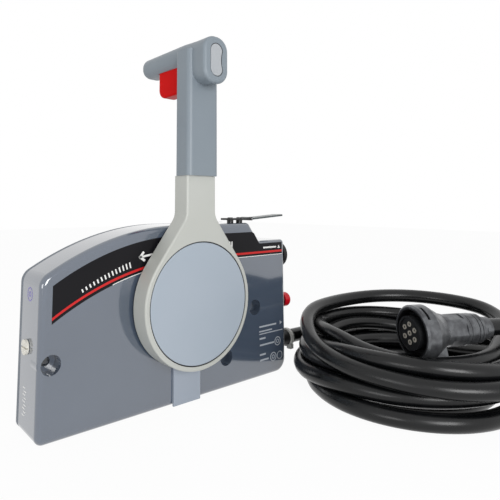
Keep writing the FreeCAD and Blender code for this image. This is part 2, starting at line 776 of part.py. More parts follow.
def rounded_box(width, depth, corner, middle_y):
    """Rounded rectangle of the grip's stem, seen from above."""
    half, deep = width / 2 - corner, depth / 2 - corner
    edges = []
    arcs = []
    for x, y, start in ((half, deep, 0), (-half, deep, 90), (-half, -deep, 180), (half, -deep, 270)):
        angles = [math.radians(start + a) for a in (0, 45, 90)]
        arcs.append([Vector(x + corner * math.cos(a), middle_y + y + corner * math.sin(a))
                     for a in angles])
    for i, arc in enumerate(arcs):
        edges.append(Part.Arc(*arc))
        edges.append(Part.LineSegment(arc[2], arcs[(i + 1) % 4][0]))
    return edges


def grip():
    """T-shaped grip: straight stem, lofted head, tang socket and trigger slot."""
    body = doc.addObject("PartDesign::Body", "grip_body")
    stem = sketch(body, "stem_outline", "XY_Plane", "Sizes.grip_bottom",
                  rounded_box(2 * size.grip_half_width, size.grip_depth, size.grip_edge,
                              grip_face + size.grip_depth / 2))
    swept(body, "Pad", "stem", stem, "Sizes.head_tail_middle - Sizes.grip_bottom")
    sections = [sketch(body, f"head_outline_{i}", "XZ_Plane", -y, head_section(width, low, high))
                for i, (y, width, low, high) in enumerate(head_stations())]
    head = body.newObject("PartDesign::AdditiveLoft", "head")
    head.Profile = sections[0]
    head.Sections = sections[1:]
    head.Ruled = True
    last = dress(body, "Fillet", "tail_edge", head, "Radius", "Sizes.head_tail_edge",
                 lambda e: at_level(e, "y", size.head_back))
    last = dress(body, "Fillet", "nose_edge", last, "Radius", "Sizes.head_nose_edge",
                 lambda e: at_level(e, "y", -size.head_front))
    plate = sketch(body, "end_recess_outline", "XZ_Plane", "Sizes.head_front",
                   end_plate_edges(size.end_plate_gap))
    swept(body, "Pocket", "end_recess", plate, "Sizes.end_plate_thickness")
    gap = size.tang_clearance
    socket = sketch(body, "socket_outline", "XZ_Plane",
                    "Sizes.box_depth / 2 + Sizes.lever_front - Sizes.stem_depth / 2"
                    " - Sizes.tang_half_depth - Sizes.tang_clearance",
                    rectangle(-size.tang_half_width - gap, size.grip_bottom - 1,
                              size.tang_half_width + gap, size.tang_top + gap))
    swept(body, "Pocket", "socket", socket, "2 * Sizes.tang_half_depth + 2 * Sizes.tang_clearance",
          True)
    trigger_slots(body)
    return keep(body, "grip")


def trigger_slots(body):
    """Slot under the head for the trigger, and the slot of its arm down to the tang."""
    gap = size.trigger_clearance
    roof = size.trigger_top + size.trigger_travel + 1.5
    outline = rectangle(-size.trigger_half_width - gap, size.trigger_bottom + 2,
                        size.trigger_half_width + gap, roof)
    wide = sketch(body, "trigger_slot_outline", "XZ_Plane", f"-(Sizes.trigger_back + {gap})", outline)
    swept(body, "Pocket", "trigger_slot", wide, f"Sizes.trigger_back + {gap} + 0.5 - ({grip_back})", True)
    outline = rectangle(-size.trigger_arm_half_width - gap, size.tang_top - 0.5,
                        size.trigger_arm_half_width + gap, roof)
    slim = sketch(body, "arm_slot_outline", "XZ_Plane", -(grip_back + 1), outline)
    swept(body, "Pocket", "arm_slot", slim,
          grip_back - stem_middle + size.trigger_arm_half_width + gap + 1, True)


def end_plate_edges(gap=0.0):
    """Oblong with round ends, its right side slightly hollow."""
    half = size.end_plate_width / 2 + gap
    tall = size.end_plate_height / 2 - size.end_plate_width / 2
    middle = size.head_nose_middle
    hollow = 1.3
    high, low = middle + tall, middle - tall
    return [
        Part.Arc(Vector(half, high), Vector(0, high + half), Vector(-half, high)),
        Part.LineSegment(Vector(-half, high), Vector(-half, low)),
        Part.Arc(Vector(-half, low), Vector(0, low - half), Vector(half, low)),
        Part.Arc(Vector(half, low), Vector(half - hollow, middle), Vector(half, high)),
    ]


def grip_end_plate():
    """Blank plate pressed into the front end of the head."""
    body = doc.addObject("PartDesign::Body", "end_plate_body")
    outline = sketch(body, "end_plate_outline", "XZ_Plane",
                     "Sizes.head_front - Sizes.end_plate_thickness", end_plate_edges())
    plate = swept(body, "Pad", "end_plate", outline, "Sizes.end_plate_thickness")
    dress(body, "Fillet", "end_plate_edge", plate, "Radius", 0.5,
          lambda e: at_level(e, "y", -size.head_front))
    return keep(body, "grip_end_plate")


def neutral_lock_trigger():
    """Red trigger under the rear half of the head, with the arm that lifts the rod."""
    body = doc.addObject("PartDesign::Body", "trigger_body")
    front = grip_back + size.trigger_clearance
    rear, low, high = size.trigger_back, size.trigger_bottom, size.trigger_top
    corner = size.trigger_corner
    bend = corner * (1 - math.sqrt(0.5))
    points = [Vector(front, low), Vector(rear - corner, low), Vector(rear, low + corner),
              Vector(rear, high), Vector(front, high)]
    edges = [
        Part.LineSegment(points[0], points[1]),
        Part.Arc(points[1], Vector(rear - bend, low + bend), points[2]),
        Part.LineSegment(points[2], points[3]),
        Part.LineSegment(points[3], points[4]),
        Part.LineSegment(points[4], points[0]),
    ]
    outline = sketch(body, "trigger_outline", "YZ_Plane", "-Sizes.trigger_half_width", edges)
    pad = swept(body, "Pad", "paddle", outline, "2 * Sizes.trigger_half_width")
    pad = dress(body, "Fillet", "paddle_edge", pad, "Radius", 1.8,
                lambda e: e.BoundBox.ZMin < high - 0.1 and e.BoundBox.YMax > front + 0.1
                and (at_level(e, "x", -size.trigger_half_width)
                     or at_level(e, "x", size.trigger_half_width)))
    arm = sketch(body, "arm_outline", "YZ_Plane", "-Sizes.trigger_arm_half_width",
                 rectangle(stem_middle - size.trigger_arm_half_width, size.trigger_arm_bottom,
                           front + 0.5, high))
    swept(body, "Pad", "arm", arm, "2 * Sizes.trigger_arm_half_width")
    bore = circles(body, "arm_bore_ring", "XY_Plane", "Sizes.trigger_arm_bottom",
                   [("0", STEM_MIDDLE, "Sizes.rod_radius")])
    swept(body, "Pocket", "arm_bore", bore, 8, True)
    return keep(body, "neutral_lock_trigger")


def lock_rod():
    """Rod from the trigger down to the lock ring, with the collar that its spring pushes."""
    low = "Sizes.hub_height + Sizes.lock_ring_radius + Sizes.rod_end_gap"
    rod = cylinder("rod_bar", "Sizes.rod_radius", f"Sizes.trigger_arm_bottom + 8 - ({low})",
                   ("0", STEM_MIDDLE, low), "Z")
    collar = cylinder("rod_collar", "Sizes.rod_collar_radius", "Sizes.rod_collar_length",
                      ("0", STEM_MIDDLE, "Sizes.rod_collar_height"), "Z")
    return keep(fuse("rod_solid", [rod, collar]), "lock_rod")


def coil_spring(name, radius, wire, low, high, turns, middle):
    """Helical wire between two levels."""
    helix = Part.makeHelix((high - low - wire) / turns, high - low - wire, radius - wire / 2)
    inner, half = radius - wire, wire / 2
    corners = [Vector(inner, 0, -half), Vector(radius, 0, -half), Vector(radius, 0, half),
               Vector(inner, 0, half), Vector(inner, 0, -half)]
    solid = Part.Wire(helix.Edges).makePipeShell([Part.makePolygon(corners)], True, True)
    obj = doc.addObject("Part::Feature", name)
    obj.Shape = solid
    obj.Placement = Placement(Vector(middle[0], middle[1], low + wire / 2), Rotation())
    return obj


def lock_spring():
    """Spring between the rod's collar and the shoulder in the tang."""
    low = size.rod_collar_height + size.rod_collar_length
    return keep(coil_spring("lock_spring_wire", size.rod_collar_radius, size.spring_wire,
                            low + 0.05, size.spring_top - 0.05, 6, (0, stem_middle)), "lock_spring")


def lock_ring():
    """Fixed ring round the shaft with the neutral notch at its top."""
    hub = "Sizes.hub_height"
    flange = cylinder("lock_flange", "Sizes.lock_flange_radius", "Sizes.lock_flange_thickness",
                      ("0", f"{FACE} - Sizes.lock_flange_thickness", hub))
    reach = "Sizes.lever_front - Sizes.cap_thickness - Sizes.hub_web - 0.5"
    neck = cylinder("lock_neck", "Sizes.lock_neck_radius", reach, ("0", f"{FACE} - ({reach})", hub))
    rim = cylinder("lock_rim", "Sizes.lock_ring_radius", "Sizes.lock_ring_thickness",
                   ("0", f"{FACE} - ({reach})", hub))
    bore = cylinder("lock_bore", "Sizes.lock_ring_bore", reach, ("0", f"{FACE} - ({reach})", hub))
    notch = block("lock_notch", ("Sizes.lock_notch_width", "Sizes.lock_ring_thickness", 6),
                  ("-Sizes.lock_notch_width / 2", f"{FACE} - ({reach})",
                   "Sizes.hub_height + Sizes.lock_ring_radius - Sizes.lock_notch_depth"))
    return keep(cut("lock_ring_cut", fuse("lock_ring_solid", [flange, neck, rim]), [bore, notch]),
                "lock_ring")


def bushes():
    """Flanged bushes in the cover and in the back plate."""
    hub = "Sizes.hub_height"
    bore = "Sizes.shaft_radius + Sizes.running_clearance"
    length = "Sizes.box_depth / 2 - Sizes.drive_front - Sizes.gear_side_gap"
    sleeve = ring("front_sleeve", "Sizes.bush_radius", bore, length, ("0", FACE, hub))
    flange = ring("front_flange", "Sizes.bush_flange_radius", bore, "Sizes.bush_flange",
                  ("0", f"{FACE} - Sizes.bush_flange", hub))
    keep(fuse("front_bush_solid", [sleeve, flange]), "front_bush")
    sleeve = ring("rear_sleeve", "Sizes.bush_radius", bore, "Sizes.plate_thickness - 2.4",
                  ("0", SEAM, hub))
    flange = ring("rear_flange", "Sizes.bush_flange_radius", bore, "Sizes.bush_flange",
                  ("0", f"{SEAM} - Sizes.bush_flange", hub))
    keep(fuse("rear_bush_solid", [sleeve, flange]), "rear_bush")


# Mechanism between the cover and the plate

centre_distance = size.gear_module * (size.drive_teeth + size.sector_teeth) / 2
hub_height = size.hub_height


def throttle_pivot():
    """Throttle stud: level with the friction screw, one gear distance from the shaft."""
    drop = size.hub_height - size.friction_height
    return -math.sqrt(centre_distance ** 2 - drop ** 2), size.friction_height


def stud_places():
    """Places of the shift stud and the throttle stud."""
    return [(0.0, hub_height - centre_distance), throttle_pivot()]


def tooth_edge(pitch_radius, teeth, radius):
    """Half angle of a tooth at a radius, with the backlash taken off."""
    pressure = math.radians(20)
    base = pitch_radius * math.cos(pressure)
    involute = math.tan(pressure) - pressure
    half = math.pi / 2 / teeth - size.gear_backlash / 2 / pitch_radius + involute
    if radius <= base:
        return half
    angle = math.acos(base / radius)
    return half - (math.tan(angle) - angle)


def gear_points(teeth, kept, first):
    """Outline points of teeth about the origin, from the first tooth's middle angle on."""
    pitch = size.gear_module * teeth / 2
    base = pitch * math.cos(math.radians(20))
    tip = pitch + 0.9 * size.gear_module
    root = pitch - 1.2 * size.gear_module
    flank = [root, max(base, root + 0.1), (max(base, root) + tip) / 2, tip]
    points = []
    for k in range(kept):
        middle = first + k * 2 * math.pi / teeth
        for side, radii in ((-1, flank), (1, flank[::-1])):
            for radius in radii:
                turn = middle + side * tooth_edge(pitch, teeth, radius)
                points.append(Vector(radius * math.cos(turn), radius * math.sin(turn)))
    return points


def polygon(points, at):
    """Closed run of straight edges about a place."""
    moved = [p + Vector(at[0], at[1]) for p in points]
    return [Part.LineSegment(a, b) for a, b in zip(moved, moved[1:] + moved[:1])]


def drive_gear():
    """Sixteen-tooth gear keyed to the shaft, with the notched detent disc behind it."""
    body = doc.addObject("PartDesign::Body", "drive_body")
    teeth = int(size.drive_teeth)
    points = gear_points(teeth, teeth, math.pi / teeth)
    outline = sketch(body, "drive_outline", "XZ_Plane", "-Sizes.drive_back",
                     polygon(points, (0, hub_height)))
    swept(body, "Pad", "drive_teeth", outline, "Sizes.drive_front + Sizes.drive_back")
    swept(body, "Pad", "detent_disc", circles(body, "detent_ring", "XZ_Plane",
          "-Sizes.drive_back - Sizes.detent_thickness",
          [("0", "Sizes.hub_height", "Sizes.detent_radius")]), "Sizes.detent_thickness + 0.2")
    notches = []
    for step in (-1, 0, 1):
        turn = math.radians(90 + step * size.detent_step_angle)
        reach = size.detent_radius + size.detent_ball - 1.6
        notches.append((reach * math.cos(turn), hub_height + reach * math.sin(turn),
                        "Sizes.detent_ball + Sizes.face_clearance"))
    swept(body, "Pocket", "detent_notches", circles(body, "notch_rings", "XZ_Plane",
          "-Sizes.drive_back - Sizes.detent_thickness - 0.1", notches), "Sizes.detent_thickness + 0.1",
          True)
    swept(body, "Pocket", "drive_bore", circles(body, "drive_bore_ring", "XZ_Plane",
          "Sizes.drive_front + 1", [("0", "Sizes.hub_height", "Sizes.shaft_radius")]),
          "Sizes.drive_front + Sizes.drive_back + Sizes.detent_thickness + 2")
    half = size.key_width / 2
    top = hub_height + size.shaft_radius
    keyway = sketch(body, "drive_keyway_outline", "XZ_Plane", "Sizes.drive_front + 1",
                    rectangle(-half, top - half, half, top + half))
    swept(body, "Pocket", "drive_keyway", keyway,
          "Sizes.drive_front + Sizes.drive_back + Sizes.detent_thickness + 2")
    return keep(body, "drive_gear")


def sector_teeth_start(towards, teeth):
    """Middle angle of the first kept tooth, so that the sector meshes with the drive gear."""
    drive_pitch = 2 * math.pi / size.drive_teeth
    off = towards - drive_pitch * round(towards / drive_pitch)
    ratio = size.drive_teeth / size.sector_teeth
    return towards + math.pi + off * ratio - (size.sector_kept_teeth - 1) / 2 * 2 * math.pi / teeth


def toothed_lever(label, pivot, y_back, extra=None):
    """Sector with its bore on a stud and an arm down to its cable pin."""
    body = doc.addObject("PartDesign::Body", label + "_body")
    teeth = int(size.sector_teeth)
    kept = int(size.sector_kept_teeth)
    towards = math.atan2(pivot[1] - hub_height, pivot[0])
    points = gear_points(teeth, kept, sector_teeth_start(towards, teeth))
    points.append(Vector(0, 0))
    outline = sketch(body, label + "_outline", "XZ_Plane", -y_back, polygon(points, pivot))
    swept(body, "Pad", label + "_sector", outline, "Sizes.sector_thickness")
    rounds = [(pivot[0], pivot[1], "Sizes.stud_radius + 4.5")]
    if extra:
        rounds.append((pivot[0], pivot[1], extra))
    for i, ring_size in enumerate(rounds):
        swept(body, "Pad", f"{label}_hub_{i}", circles(body, f"{label}_hub_ring_{i}", "XZ_Plane",
              -y_back, [ring_size]), "Sizes.sector_thickness")
    half = size.sector_arm_half_width
    low = pivot[1] - size.sector_arm_length
    arm = [Part.LineSegment(Vector(pivot[0] + half, pivot[1]), Vector(pivot[0] - half, pivot[1])),
           Part.LineSegment(Vector(pivot[0] - half, pivot[1]), Vector(pivot[0] - half, low)),
           Part.Arc(Vector(pivot[0] - half, low), Vector(pivot[0], low - half),
                    Vector(pivot[0] + half, low)),
           Part.LineSegment(Vector(pivot[0] + half, low), Vector(pivot[0] + half, pivot[1]))]
    swept(body, "Pad", label + "_arm", sketch(body, label + "_arm_outline", "XZ_Plane", -y_back, arm),
          "Sizes.sector_thickness")
    holes = [(pivot[0], pivot[1], "Sizes.stud_radius + Sizes.running_clearance"),
             (pivot[0], low, "Sizes.cable_pin_radius")]
    swept(body, "Pocket", label + "_holes", circles(body, label + "_hole_rings", "XZ_Plane",
          -y_back - 1, holes), "Sizes.sector_thickness + 2", True)
    keep(body, label)
    return pivot[0], low


def toothed_levers():
    """Shift lever and throttle lever, their cable pins and their studs."""
    shift_at, throttle_at = stud_places()
    levels = {"shift": -size.shift_level + size.sector_thickness / 2,
              "throttle": size.throttle_level + size.sector_thickness / 2}
    pins = {"shift": toothed_lever("shift_lever", shift_at, levels["shift"]),
            "throttle": toothed_lever("throttle_lever", throttle_at, levels["throttle"],
                                      "Sizes.friction_drum")}
    for name, at in (("shift", shift_at), ("throttle", throttle_at)):
        y_back = levels[name]
        low = pins[name]
        pin = cylinder(name + "_pin", "Sizes.cable_pin_radius", "Sizes.cable_pin_length",
                       (low[0], f"{y_back} - Sizes.sector_thickness", low[1]))
        head = cylinder(name + "_pin_head", "Sizes.cable_pin_radius + 1.2", 1,
                        (low[0], f"{y_back} - Sizes.sector_thickness - 1", low[1]))
        keep(fuse(name + "_pin_solid", [pin, head]), name + "_cable_pin")
        gap = size.face_clearance
        front = y_back - size.sector_thickness - gap
        head = cylinder(name + "_stud_head", "Sizes.stud_shoulder", 1.6, (at[0], front - 1.6, at[1]))
        rod = cylinder(name + "_stud_rod", "Sizes.stud_radius",
                       f"{BACK} - 1 - ({front})", (at[0], front, at[1]))
        shoulder = cylinder(name + "_stud_shoulder", "Sizes.stud_shoulder",
                            f"{SEAM} - ({y_back + gap})", (at[0], y_back + gap, at[1]))
        keep(fuse(name + "_stud_solid", [head, rod, shoulder]), name + "_stud")


def neutral_detent():
    """Ball, spring, plug and holder that press on the detent disc from above."""
    middle = "Sizes.drive_back + Sizes.detent_thickness / 2"
    mid = size.drive_back + size.detent_thickness / 2
    ball_at = size.hub_height + size.detent_radius + size.detent_ball + size.face_clearance
    ball = doc.addObject("Part::Sphere", "detent_sphere")
    bind(ball, Radius="Sizes.detent_ball")
    place(ball, ("0", middle, "Sizes.hub_height + Sizes.detent_radius + Sizes.detent_ball"
                              " + Sizes.face_clearance"))
    keep(ball, "detent_ball")
    spring_low = ball_at + size.detent_ball
    spring_high = spring_low + size.detent_spring_length
    keep(coil_spring("detent_spring_wire", size.detent_ball - 0.3, size.spring_wire, spring_low,
                     spring_high, 5, (0, mid)), "detent_spring")
    base = "Sizes.hub_height + Sizes.detent_radius + 2"
    top = f"{spring_high} + 4"
    holder = block("holder_block", (14, f"{SEAM} - ({middle}) + 5.5", f"{top} - ({base})"),
                   (-7, f"{middle} - 5.5", base))
    bore = cylinder("holder_bore", "Sizes.detent_ball + 0.1", f"{top} - ({base})", ("0", middle, base), "Z")
    keep(cut("holder_cut", holder, [bore]), "detent_holder")
    plug = cylinder("plug_bar", "Sizes.detent_ball + 0.05", 4, ("0", middle, spring_high), "Z")
    slot = block("plug_slot", (2 * size.detent_ball + 2, 1, 1.2),
                 (-size.detent_ball - 1, f"{middle} - 0.5", f"{spring_high} + 2.8"))
    keep(cut("plug_cut", plug, [slot]), "detent_plug")


def friction_parts():
    """Slotted screw at the forward end and the shoe that it presses on the throttle drum."""
    level, height = "Sizes.throttle_level", "Sizes.friction_height"
    drum = throttle_pivot()[0] - size.friction_drum
    shoe_tip = drum - size.face_clearance
    shoe_root = shoe_tip - 7.0
    head = cylinder("friction_top", "Sizes.friction_head", "Sizes.friction_head_length",
                    ("-Sizes.box_front_end - Sizes.face_clearance - Sizes.friction_head_length",
                     level, height), "X")
    shank = cylinder("friction_rod", "Sizes.friction_shank",
                     f"Sizes.box_front_end + Sizes.face_clearance + {shoe_root} - Sizes.face_clearance",
                     ("-Sizes.box_front_end - Sizes.face_clearance", level, height), "X")
    slot = block("friction_slot", (1.3, "2 * Sizes.friction_head + 2", 1.2),
                 ("-Sizes.box_front_end - Sizes.face_clearance - Sizes.friction_head_length",
                  f"{level} - Sizes.friction_head - 1", f"{height} - 0.6"))
    keep(cut("friction_cut", fuse("friction_solid", [head, shank]), [slot]), "friction_screw")
    pad = block("shoe_block", (7.0, "Sizes.sector_thickness", 12),
                (shoe_root, f"{level} - Sizes.sector_thickness / 2", f"{height} - 6"))
    hollow = cylinder("shoe_hollow", "Sizes.friction_drum + Sizes.face_clearance", 20,
                      (throttle_pivot()[0], f"{level} - 10", height))
    foot = block("shoe_foot", (5.0, f"{SEAM} - ({level}) + Sizes.sector_thickness / 2 - 4", 12),
                 (shoe_root, f"{level} - Sizes.sector_thickness / 2 + 4", f"{height} - 6"))
    keep(fuse("shoe_solid", [cut("shoe_cut", pad, [hollow]), foot]), "friction_shoe")


# Aft end: key switch, stop button and control cable ports

AFT = "Sizes.box_aft_end"
LEVEL = "-Sizes.switch_level"


def key_switch():
    """Barrel switch with its nut outside the wall and the rotor that takes the key."""
    height = "Sizes.key_height"
    inside = cylinder("key_inside_can", "Sizes.key_thread + 0.4", "Sizes.key_inside - 6",
                      (f"{AFT} - Sizes.cover_wall - Sizes.key_inside", LEVEL, height), "X")
    thread = cylinder("key_thread_bar", "Sizes.key_thread",
                      "6 + Sizes.cover_wall + Sizes.key_nut_thickness",
                      (f"{AFT} - Sizes.cover_wall - 6", LEVEL, height), "X")
    nose = cylinder("key_nose_bar", "Sizes.key_barrel",
                    "Sizes.key_nose - Sizes.key_nut_thickness",
                    (f"{AFT} + Sizes.key_nut_thickness", LEVEL, height), "X")
    room = cylinder("key_rotor_room", "Sizes.key_rotor + Sizes.running_clearance", 14,
                    (f"{AFT} + Sizes.key_nose - 14", LEVEL, height), "X")
    lip = ring("key_lip", "Sizes.key_rotor + 0.3", "Sizes.key_rotor - 1.4", 1.2,
               (f"{AFT} + Sizes.key_nose - 1.2", LEVEL, height), "X")
    barrel = cut("key_barrel_cut", fuse("key_barrel_solid", [inside, thread, nose]), [room])
    keep(fuse("key_barrel_lipped", [barrel, lip]), "key_switch_barrel")
    keep(ring("key_nut_ring", "Sizes.key_nut", "Sizes.key_thread + 0.05", "Sizes.key_nut_thickness",
              (AFT, LEVEL, height), "X"), "key_switch_nut")
    rotor = cylinder("key_rotor_bar", "Sizes.key_rotor", 12.2,
                     (f"{AFT} + Sizes.key_nose - 13.7", LEVEL, height), "X")
    slot = block("key_slot", (10, 1.6, 7.5),
                 (f"{AFT} + Sizes.key_nose - 11", f"{LEVEL} - 0.8", f"{height} - 3.75"))
    keep(cut("key_rotor_cut", rotor, [slot]), "key_rotor")


STOP_ROUND = 3.4


def stop_switch():
    """Push switch with a ring nut and a red mushroom button that travels inwards."""
    height = "Sizes.stop_height"
    can = cylinder("stop_can", "Sizes.stop_barrel + 1.6", "Sizes.stop_inside",
                   (f"{AFT} - Sizes.cover_wall - Sizes.stop_inside", LEVEL, height), "X")
    barrel = cylinder("stop_barrel_bar", "Sizes.stop_barrel", "Sizes.cover_wall + Sizes.stop_barrel_out",
                      (f"{AFT} - Sizes.cover_wall", LEVEL, height), "X")
    room = cylinder("stop_room", "Sizes.stop_stem + Sizes.running_clearance", 22,
                    (f"{AFT} + Sizes.stop_barrel_out - 22", LEVEL, height), "X")
    keep(cut("stop_barrel_cut", fuse("stop_barrel_solid", [can, barrel]), [room]), "stop_switch_barrel")
    keep(ring("stop_nut_ring", "Sizes.stop_nut", "Sizes.stop_barrel + 0.05", "Sizes.stop_nut_thickness",
              (AFT, LEVEL, height), "X"), "stop_switch_nut")
    start = f"{AFT} + Sizes.stop_barrel_out + Sizes.stop_travel + Sizes.face_clearance"
    cap = cylinder("stop_cap", "Sizes.stop_button", "Sizes.stop_cap_length", (start, LEVEL, height), "X")
    soft = round_edges("stop_cap_soft", cap, STOP_ROUND, lambda e: at_level(
        e, "x", aft + size.stop_barrel_out + size.stop_travel + size.face_clearance
        + size.stop_cap_length))
    stem = cylinder("stop_stem_bar", "Sizes.stop_stem", "12 + Sizes.stop_travel",
                    (f"{start} - 12 - Sizes.stop_travel", LEVEL, height), "X")
    keep(fuse("stop_button_solid", [soft, stem]), "stop_button")


def cable_grommets():
    """Two rubber grommets where the control cables leave."""
    grommets = []
    for port in ("port_low", "port_high"):
        centre = ("Sizes.port_level", "Sizes." + port)
        body = cylinder(port + "_sleeve", "Sizes.port_radius", "Sizes.cover_wall",
                        (f"{AFT} - Sizes.cover_wall", *centre), "X")
        outer = cylinder(port + "_lip", "Sizes.port_radius + 1.6", 1.6, (AFT, *centre), "X")
        inner = cylinder(port + "_inner_lip", "Sizes.port_radius + 1.6", 1.6,
                         (f"{AFT} - Sizes.cover_wall - 1.6", *centre), "X")
        bore = cylinder(port + "_bore", "Sizes.port_bore", "Sizes.cover_wall + 4",
                        (f"{AFT} - Sizes.cover_wall - 2", *centre), "X")
        grommets.append(cut(port + "_cut", fuse(port + "_solid", [body, outer, inner]), [bore]))
    return keep(fuse("grommet_set", grommets), "cable_grommets")


# Fast idle lever on the deck

IDLE_FRONT = "-Sizes.idle_front"
DECK = "Sizes.deck_height"
HINGE = "Sizes.idle_hinge_along"
HINGE_UP = "Sizes.deck_height + Sizes.idle_bracket_rise + Sizes.idle_bracket_thickness / 2"
IDLE_EAR = 3.0
IDLE_SLIT = 0.6
IDLE_SCREWS = [(62.0, "-Sizes.idle_front + Sizes.idle_width / 2"),
               (74.0, "-Sizes.idle_front + Sizes.idle_width / 2")]
IDLE_POST, IDLE_SHANK, IDLE_HOLE, IDLE_HEAD = 3.2, 1.5, 1.6, 2.6
LEAF_ROUND = 3.5


def fast_idle():
    """Bracket on two screw posts over the deck, hinge pin and the blade that lifts."""
    width = "Sizes.idle_width"
    level = f"{DECK} + Sizes.idle_bracket_rise"
    thickness = "Sizes.idle_bracket_thickness"
    plate = block("idle_plate", (f"{HINGE} - Sizes.idle_bracket_start - Sizes.idle_knuckle - {IDLE_SLIT}",
                  width, thickness), ("Sizes.idle_bracket_start", IDLE_FRONT, level))
    knuckles = []
    for i, start in enumerate((IDLE_FRONT, f"{IDLE_FRONT} + {width} - {IDLE_EAR}")):
        tube = cylinder(f"idle_ear_{i}", "Sizes.idle_knuckle", IDLE_EAR, (HINGE, start, HINGE_UP))
        link = block(f"idle_link_{i}", (f"Sizes.idle_knuckle + {IDLE_SLIT}", IDLE_EAR, thickness),
                     (f"{HINGE} - Sizes.idle_knuckle - {IDLE_SLIT}", start, level))
        knuckles += [tube, link]
    bore = cylinder("idle_bore", "Sizes.idle_pin", width, (HINGE, IDLE_FRONT, HINGE_UP))
    holes = [cylinder(f"idle_screw_hole_{i}", IDLE_HOLE, thickness, (*at, level), "Z")
             for i, at in enumerate(IDLE_SCREWS)]
    keep(cut("idle_bracket_cut", fuse("idle_bracket_solid", [plate, *knuckles]), [bore, *holes]),
         "fast_idle_bracket")
    screws = []
    for i, at in enumerate(IDLE_SCREWS):
        post = cylinder(f"idle_screw_post_{i}", IDLE_POST, "Sizes.idle_bracket_rise", (*at, DECK), "Z")
        shank = cylinder(f"idle_screw_shank_{i}", IDLE_SHANK, thickness, (*at, level), "Z")
        head = cylinder(f"idle_screw_head_{i}", IDLE_HEAD, 0.7, (*at, f"{level} + {thickness}"), "Z")
        screws.append(fuse(f"idle_screw_{i}", [post, shank, head]))
    keep(fuse("idle_screw_set", screws), "bracket_screws")
    keep(cylinder("idle_pin_bar", "Sizes.idle_pin", f"{width} + 1.2",
                  (HINGE, f"{IDLE_FRONT} - 0.6", HINGE_UP)), "fast_idle_pin")
    blade_start = f"{IDLE_FRONT} + {IDLE_EAR} + Sizes.face_clearance"
    blade_width = f"{width} - 2 * {IDLE_EAR} - 2 * Sizes.face_clearance"
    tube = cylinder("blade_tube", "Sizes.idle_knuckle", blade_width, (HINGE, blade_start, HINGE_UP))
    span = size.idle_blade_end - size.idle_hinge_along
    tilt = math.degrees(math.asin(size.idle_blade_rise / span))
    leaf = block("blade_leaf", (span - size.idle_knuckle, width, "Sizes.idle_blade_thickness"),
                 (f"{HINGE} + Sizes.idle_knuckle + {IDLE_SLIT}", IDLE_FRONT,
                  f"{HINGE_UP} - Sizes.idle_blade_thickness / 2"))
    leaf.Placement.Rotation = Rotation(Vector(0, 1, 0), -tilt)
    web = block("blade_web", ("Sizes.idle_knuckle + 3", blade_width, "Sizes.idle_blade_thickness"),
                (HINGE, blade_start, f"{HINGE_UP} - Sizes.idle_blade_thickness / 2"))
    bore = cylinder("blade_bore", "Sizes.idle_pin + Sizes.running_clearance", width,
                    (HINGE, IDLE_FRONT, HINGE_UP))
    soft = round_edges("leaf_soft", leaf, LEAF_ROUND, lambda e: e.CenterOfMass.x > span / 2
                       + size.idle_hinge_along and e.Length < size.idle_blade_thickness + 0.1)
    keep(cut("blade_cut", fuse("blade_solid", [tube, soft, web]), [bore]), "fast_idle_lever")


# Harness: boot, tie, lead, coil, tail and connector

LEAD_START = size.box_aft_end + size.boot_length
lead_points = [
    Vector(LEAD_START, -size.switch_level, size.harness_height),
    Vector(LEAD_START + 22, -size.switch_level, size.harness_height),
    Vector(LEAD_START + 44, -size.switch_level - 5.5, size.harness_height - 1),
]


def plug_direction():
    """Way from the face of the connector to its cable."""
    turn = math.radians(size.plug_yaw)
    return Vector(math.cos(turn), math.sin(turn), 0)


def plug_point(reach):
    """Point on the connector's axis at a distance behind its face."""
    return Vector(size.plug_along, -size.plug_out, size.plug_height) + plug_direction() * reach


plug_length = (size.collar_length + size.collar_taper + size.plug_body_length
               + size.plug_tail_length)
tail_points = [
    plug_point(plug_length),
    plug_point(plug_length + 25),
    Vector(246.7, -203.4, 59),
    Vector(271.5, -194.2, 52),
    Vector(289.9, -174.5, 44),
    Vector(298.7, -149.0, 35),
]


def tube_along(name, points, radius):
    """Round tube on straight runs joined by tangent arcs, with its radii printed."""
    edges, start = [], points[0]
    radii = []
    for before, corner, after in zip(points, points[1:], points[2:]):
        into, out = corner - before, after - corner
        shorter = min(into.Length, out.Length)
        half = into.getAngle(out) / 2
        bend = 0.45 * shorter / math.tan(half)
        trim = 0.45 * shorter
        into.normalize()
        out.normalize()
        first, last = corner - into * trim, corner + out * trim
        inward = out - into
        inward.normalize()
        middle = corner + inward * (bend / math.cos(half) - bend)
        edges.append(Part.LineSegment(start, first).toShape())
        edges.append(Part.Arc(first, middle, last).toShape())
        radii.append(round(bend, 1))
        start = last
    edges.append(Part.LineSegment(start, points[-1]).toShape())
    path = Part.Wire(edges)
    profile = Part.Wire(Part.makeCircle(radius, points[0], points[1] - points[0]))
    solid = path.makePipeShell([profile], True, True)
    share = solid.Volume / (math.pi * radius ** 2 * path.Length)
    print(name, "bend radii", radii, "length", round(path.Length, 1), "volume share", round(share, 4))
    obj = doc.addObject("Part::Feature", name + "_tube")
    obj.Shape = solid
    return keep(obj, name)


